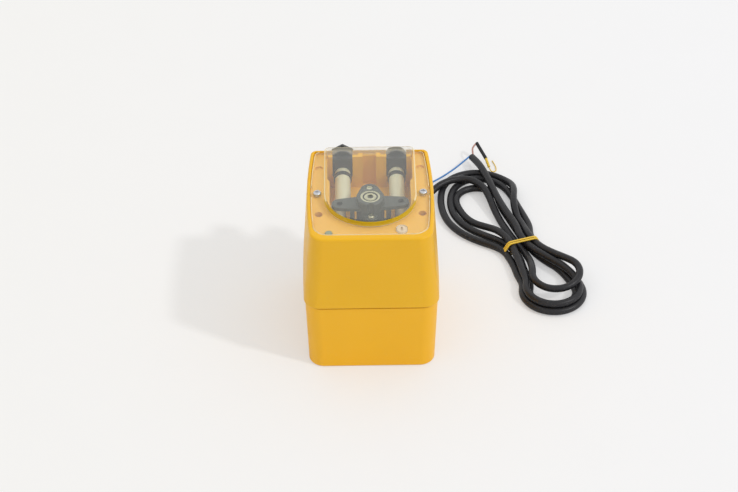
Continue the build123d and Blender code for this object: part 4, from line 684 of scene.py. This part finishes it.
class PUMP_OT_cover(PumpOperator, bpy.types.Operator):
    """Clear domed cover"""
    bl_idname = "pump.cover"
    bl_label = "Finish the cover"

    def execute(self, context):
        shape = bmesh.new()
        shape.from_mesh(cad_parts["clear_cover"].data)
        bmesh.ops.remove_doubles(shape, verts=shape.verts, dist=MERGE_WITHIN)
        self.lift_off_seat(shape)
        self.part_seams(shape)
        shape.normal_update()
        for face in shape.faces:
            face.material_index = self.part_of_cover(face)
        self.raise_highlight_bead(shape)
        mesh = bpy.data.meshes.new("dome_cover")
        shape.to_mesh(mesh)
        shape.free()
        colours = context.scene.pump_colours
        for name, colour, facing, grazing in COVER_FINISHES:
            mesh.materials.append(sheer_plastic(name, getattr(colours, colour), facing, grazing))
        cover = bpy.data.objects.new("dome_cover", mesh)
        context.scene.collection.objects.link(cover)
        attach(cover, "housing")
        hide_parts("clear_cover")
        return {"FINISHED"}

    def lift_off_seat(self, shape):
        """Leaves a film of air under the flange."""
        under = [vertex for vertex in shape.verts if abs(vertex.co.z - SEAT_LEVEL * MM) < SEAT_FILM * MM]
        bmesh.ops.translate(shape, verts=under, vec=(0, 0, SEAT_FILM * MM))

    def part_seams(self, shape):
        """Cuts the foot of the dome's wall into the strips of its painted shade line and painted highlight
        line.
        """
        for height in (SHADE_LINE_TOP, GLINT_LINE_TOP):
            walls = [face for face in shape.faces if not self.on_border(face.calc_center_median())]
            geometry = walls + list(dict.fromkeys(edge for face in walls for edge in face.edges))
            geometry += list(dict.fromkeys(vertex for face in walls for vertex in face.verts))
            bmesh.ops.bisect_plane(shape, geom=geometry, plane_co=(0, 0, height * MM), plane_no=(0, 0, 1))

    def raise_highlight_bead(self, shape):
        """Raises a thin bead along the flange's upper outer edge, whose faces carry a painted highlight."""
        rim = [edge for edge in shape.edges if self.is_rim(edge)]
        border = bmesh.ops.bevel(shape, geom=rim, affect="EDGES", offset=HIGHLIGHT_BEAD_WIDTH * MM,
                                 offset_type="OFFSET", segments=1, profile=0.5, material=-1)["faces"]
        for face in border:
            face.material_index = PAINTED_HIGHLIGHT
        raised = bmesh.ops.extrude_face_region(shape, geom=border)["geom"]
        bmesh.ops.delete(shape, geom=border, context="FACES_ONLY")
        corners = [item for item in raised if isinstance(item, bmesh.types.BMVert)]
        bmesh.ops.translate(shape, verts=corners, vec=(0, 0, HIGHLIGHT_BEAD_RISE * MM))

    def is_rim(self, edge):
        """Whether an edge is the flange's outer edge, between its top and its side."""
        slopes = [face.normal.z for face in edge.link_faces]
        return (len(slopes) == 2 and max(slopes) > 0.9 and min(map(abs, slopes)) < 0.3 and
                max(vertex.co.z for vertex in edge.verts) < GLINT_LINE_TOP * MM and
                all(self.on_border(vertex.co) for vertex in edge.verts))

    def on_border(self, place):
        """Whether a place lies on the outer part of the flange, away from its holes."""
        centre = place / MM
        if any((centre - Vector((x, y, centre.z))).length < reach for x, y, reach in COVER_HOLES):
            return False
        if centre.y > ROTOR_AXIS_Y:
            return abs(centre.x) > DOME_REACH
        return Vector((centre.x, centre.y - ROTOR_AXIS_Y)).length > DOME_REACH

    def part_of_cover(self, face):
        """Which of the cover's finishes a face has."""
        centre = face.calc_center_median() / MM
        from_axis = Vector((centre.x, centre.y - ROTOR_AXIS_Y))
        sloping = 0.1 < face.normal.z < 0.95
        # painted highlight on the rounding along the top of the dome
        if centre.z > ROUNDING_LEVEL and sloping and from_axis.y > -EDGE_RUN_OUT:
            return PAINTED_HIGHLIGHT
        if abs(face.normal.z) > 0.5 or max(abs(from_axis.x), abs(from_axis.y)) < STEADY_PIN_ZONE:
            return FLAT
        if centre.y > DOME_FAR_ZONE:
            return OTHER_WALL
        if from_axis.y > 0:
            # walls beyond the dome's reach are the flange's cut edges, which get a painted highlight
            return PAINTED_GLINT if abs(centre.x) > DOME_REACH else OTHER_WALL
        if from_axis.length > DOME_REACH:
            return PAINTED_GLINT
        # foot of the near wall: a painted highlight line over a painted shade line
        if centre.z > GLINT_LINE_TOP:
            return NEAR_WALL
        return PAINTED_GLINT if centre.z > SHADE_LINE_TOP else PAINTED_SHADE_LINE


class PUMP_OT_rotor(PumpOperator, bpy.types.Operator):
    """Rotor arms, rollers, hose and terminal block"""
    bl_idname = "pump.rotor"
    bl_label = "Finish the rotor and hose"

    def execute(self, context):
        colours = context.scene.pump_colours
        grey = plastic("rotor plastic", colours.arms, roughness=0.42, tone=0.15, scale=1500, height=0.4,
                       dust=0.25)
        dress(grey, "rotor", "rotor_base")
        cream = plastic("hose rubber", colours.hose, roughness=0.5, tone=0.16, scale=900, height=0.2,
                        dust=0.1, Subsurface_Weight=0.15, Subsurface_Radius=(0.004, 0.003, 0.002))
        dress(cream, "pump_hose")
        white = plastic("light plastic", colours.rollers, roughness=0.35, tone=0.08, dust=0.05)
        dress(white, "roller_left", "roller_right", "terminal_block")
        return {"FINISHED"}


class PUMP_OT_fittings(PumpOperator, bpy.types.Operator):
    """Hose clamps, connectors, nuts and cable gland"""
    bl_idname = "pump.fittings"
    bl_label = "Finish the fittings"

    def execute(self, context):
        colours = context.scene.pump_colours
        black = plastic("fitting plastic", colours.fittings, roughness=0.4, tone=0.18, scale=1400,
                        height=0.35, dust=0.25)
        dress(black, "hose_clamp_left", "hose_clamp_right", "hose_connector_left", "hose_connector_right",
              "hose_nut_left", "hose_nut_right", "cable_gland", "gland_nut", "gland_lock_nut")
        return {"FINISHED"}


class PUMP_OT_small_parts(PumpOperator, bpy.types.Operator):
    """Lamp window, caps over the far screw wells and the locking collar of the left outlet"""
    bl_idname = "pump.small_parts"
    bl_label = "Make the small parts"

    def execute(self, context):
        colours = context.scene.pump_colours
        window = plastic("lamp window", colours.window, roughness=0.2, tone=0.25, scale=900, height=0.1)
        mesh_piece("lamp_window", turned(LAMP_WINDOW, LAMP_WINDOW_AT, UP), window, "housing")
        for side, name in ((-1, "left"), (1, "right")):
            cap = turned(WELL_CAP, Vector((side * WELL_CAP_X, WELL_CAP_Y, WELL_CAP_Z)), UP)
            mesh_piece("well_cap_" + name, cap, bpy.data.materials["case yellow"], "housing")
        collar = turned(COLLAR, COLLAR_AT, OUT_OF_WALL, segments=6, first=radians(30))
        mesh_piece("outlet_collar", collar, bpy.data.materials["fitting plastic"], "housing",
                   smooth=False)
        return {"FINISHED"}


class PUMP_OT_metalwork(PumpOperator, bpy.types.Operator):
    """Screws, bearing, gear motor and its plates"""
    bl_idname = "pump.metalwork"
    bl_label = "Finish the metalwork"

    def execute(self, context):
        colours = context.scene.pump_colours
        dress(metal("bright steel", colours.steel, roughness=0.28), "cover_screws", "housing_screws",
              "gearbox_screws", "output_shaft", "intermediate_arbor", "motor_screws", "motor_shaft",
              "motor_armature", "board_screws")
        dress(metal("warm steel", colours.bearing, roughness=0.3), "rotor_screws", "bearing_inner")
        # painted shade: near-black pins stand in for the shade in the recesses at the arm ends
        dress(metal("dark pins", colours.pins, roughness=0.5), "roller_pins")
        dress(self.shielded_steel(colours), "bearing_outer")
        dress(metal("plated steel", colours.plating, roughness=0.38, smudge=0.4), "gearbox_front_plate",
              "gearbox_back_plate", "motor_body", "output_gear")
        dress(metal("brass", colours.brass, roughness=0.3), "gearbox_pillars", "shaft_bushes",
              "intermediate_gear", "motor_pinion")
        return {"FINISHED"}

    def shielded_steel(self, colours):
        """Bearing steel with a black ring on its shield."""
        material = metal("bearing steel", colours.bearing, roughness=0.3)
        tree = material.node_tree
        shader = tree.nodes["Principled BSDF"]
        steel = shader.inputs["Base Color"].links[0].from_socket
        where = tree.nodes.new("ShaderNodeTexCoord")
        centred = place(tree, "ShaderNodeMapping", Location=(0, -ROTOR_AXIS_Y * MM, 0), Scale=(1, 1, 0))
        tree.links.new(where.outputs["Object"], centred.inputs["Vector"])
        radius = place(tree, "ShaderNodeVectorMath", {"operation": "LENGTH"})
        tree.links.new(centred.outputs["Vector"], radius.inputs[0])
        in_from, in_to, out_from, out_to = (reach * MM for reach in SHIELD_RING)
        inside = mask(tree, radius.outputs["Value"], in_from, in_to)
        outside = spread(tree, radius.outputs["Value"], out_from, out_to, 1.0, 0.0)
        ring = calculate(tree, "MULTIPLY", inside, outside)
        tint = mix_colour(tree, "MIX", ring, steel, tuple(colours.shield))
        tree.links.new(tint, shader.inputs["Base Color"])
        return material


class PUMP_OT_controls(PumpOperator, bpy.types.Operator):
    """Circuit board, lamp and trimmer"""
    bl_idname = "pump.controls"
    bl_label = "Finish the controls"

    def execute(self, context):
        colours = context.scene.pump_colours
        dress(plastic("board lacquer", colours.board, roughness=0.3, tone=0.2), "circuit_board")
        dress(plastic("lamp lens", colours.lamp, roughness=0.15, tone=0.1, Transmission_Weight=0.4),
              "indicator_lamp")
        dress(plastic("trimmer plastic", colours.trimmer, roughness=0.4), "trimmer_body")
        dress(plastic("trimmer cap", colours.cap, roughness=0.4, tone=0.1, dust=0.05), "trimmer_cap")
        return {"FINISHED"}


class PUMP_OT_cable(PumpOperator, bpy.types.Operator):
    """Tied mains cable with its tapered strain relief"""
    bl_idname = "pump.cable"
    bl_label = "Make the cable"

    def execute(self, context):
        colours = context.scene.pump_colours
        sizes = context.scene.pump_cable
        jacket = plastic("cable jacket", colours.jacket, roughness=0.38, tone=0.25, scale=1100, height=0.3,
                         dust=0.15, Specular_IOR_Level=0.3)
        cable = smooth_line("mains_cable", cable_route(), sizes.radius, jacket, rings=7, steps=10)
        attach(cable, "housing")
        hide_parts("power_cable", "cable_hank", "cut_end")
        boot = self.boot(cable, jacket)
        return {"FINISHED"}

    def boot(self, cable, jacket):
        """Ribbed strain relief that tapers along the cable from the gland nut."""
        line = centre_line(cable)
        shape = bmesh.new()
        rings = []
        for distance, radius in BOOT_PROFILE:
            point, way = along(line, distance * MM)
            turn = Matrix.Translation(point) @ way.to_track_quat("Z", "Y").to_matrix().to_4x4()
            ring = bmesh.ops.create_circle(shape, segments=28, radius=radius * MM, matrix=turn)["verts"]
            rings.append(list({edge for vertex in ring for edge in vertex.link_edges}))
        for first, second in zip(rings, rings[1:]):
            bmesh.ops.bridge_loops(shape, edges=first + second)
        for ring in (rings[0], rings[-1]):
            bmesh.ops.contextual_create(shape, geom=ring)
        return mesh_piece("cable_boot", shape, jacket, "housing")


class PUMP_OT_band(PumpOperator, bpy.types.Operator):
    """Rubber band wound three times round the hank"""
    bl_idname = "pump.band"
    bl_label = "Make the band"

    def execute(self, context):
        colours = context.scene.pump_colours
        sizes = context.scene.pump_cable
        rubber = plastic("band rubber", colours.band, roughness=0.45, tone=0.25, scale=1600, height=0.4,
                         dust=0.15)
        reach = sizes.radius / MM + sizes.band_radius / MM
        lowest = sizes.band_radius / MM + BAND_CLEARANCE
        points = []
        for number in range(BAND_TURNS * BAND_STEPS):
            angle = 2 * pi * number / BAND_STEPS
            way = (cos(angle), sin(angle))
            outermost, height = max(TIED_STRANDS, key=lambda strand: strand[0] * way[0] + strand[1] * way[1])
            skew = BAND_DRIFT * sin(2 * pi * number / (BAND_TURNS * BAND_STEPS)) + BAND_LEAN * sin(angle)
            points.append(by_band(outermost + reach * way[0], skew, max(height + reach * way[1], lowest)))
        band = smooth_line("hank_tie", points, sizes.band_radius, rubber, closed=True, rings=3, steps=4)
        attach(band, "housing")
        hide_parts("hank_band")
        return {"FINISHED"}


class PUMP_OT_cores(PumpOperator, bpy.types.Operator):
    """Blue and brown cores, sleeve and ferrule at the cable's cut end"""
    bl_idname = "pump.cores"
    bl_label = "Make the cores"

    def execute(self, context):
        colours = context.scene.pump_colours
        sizes = context.scene.pump_cable
        blue = smooth_line("blue_core", BLUE_ROUTE, sizes.core_radius,
                           plastic("blue core", colours.blue, roughness=0.35, dust=0.0), rings=4)
        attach(blue, "housing")
        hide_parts("blue_wire")
        dress(plastic("brown core", colours.brown, roughness=0.35, dust=0.0), "brown_wire")
        dress(bpy.data.materials["cable jacket"], "wire_sleeve")
        dress(bpy.data.materials["band rubber"], "wire_ferrule")
        tail = smooth_line("ferrule_tail", FERRULE_TAIL, TAIL_RADIUS * MM, bpy.data.materials["band rubber"],
                           rings=3)
        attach(tail, "housing")
        return {"FINISHED"}


class PUMP_PT_panel(bpy.types.Panel):
    """The pump's colours, sizes and steps"""
    bl_idname = "PUMP_PT_panel"
    bl_label = "Hose dosing pump"
    bl_space_type = "VIEW_3D"
    bl_region_type = "UI"
    bl_category = "Pump"

    def draw(self, context):
        scene = context.scene
        for heading, group in (("Colours", scene.pump_colours), ("Cable", scene.pump_cable),
                               ("Studio", scene.pump_studio)):
            box = self.layout.box()
            box.label(text=heading)
            for name in group.__annotations__:
                box.prop(group, name)
        for step in STEPS:
            self.layout.operator(step.bl_idname)


STEPS = (PUMP_OT_stage, PUMP_OT_cable, PUMP_OT_band, PUMP_OT_cores, PUMP_OT_case, PUMP_OT_cover,
         PUMP_OT_rotor, PUMP_OT_fittings, PUMP_OT_small_parts, PUMP_OT_metalwork, PUMP_OT_controls)
CLASSES = (PumpColours, CableSizes, StudioSettings, *STEPS, PUMP_PT_panel)


def register():
    for item in CLASSES:
        bpy.utils.register_class(item)
    bpy.types.Scene.pump_colours = PointerProperty(type=PumpColours)
    bpy.types.Scene.pump_cable = PointerProperty(type=CableSizes)
    bpy.types.Scene.pump_studio = PointerProperty(type=StudioSettings)


def unregister():
    del bpy.types.Scene.pump_studio
    del bpy.types.Scene.pump_cable
    del bpy.types.Scene.pump_colours
    for item in reversed(CLASSES):
        bpy.utils.unregister_class(item)


def main():
    register()
    for step in STEPS:
        area, name = step.bl_idname.split(".")
        getattr(getattr(bpy.ops, area), name)()


if __name__ == "__main__":
    main()
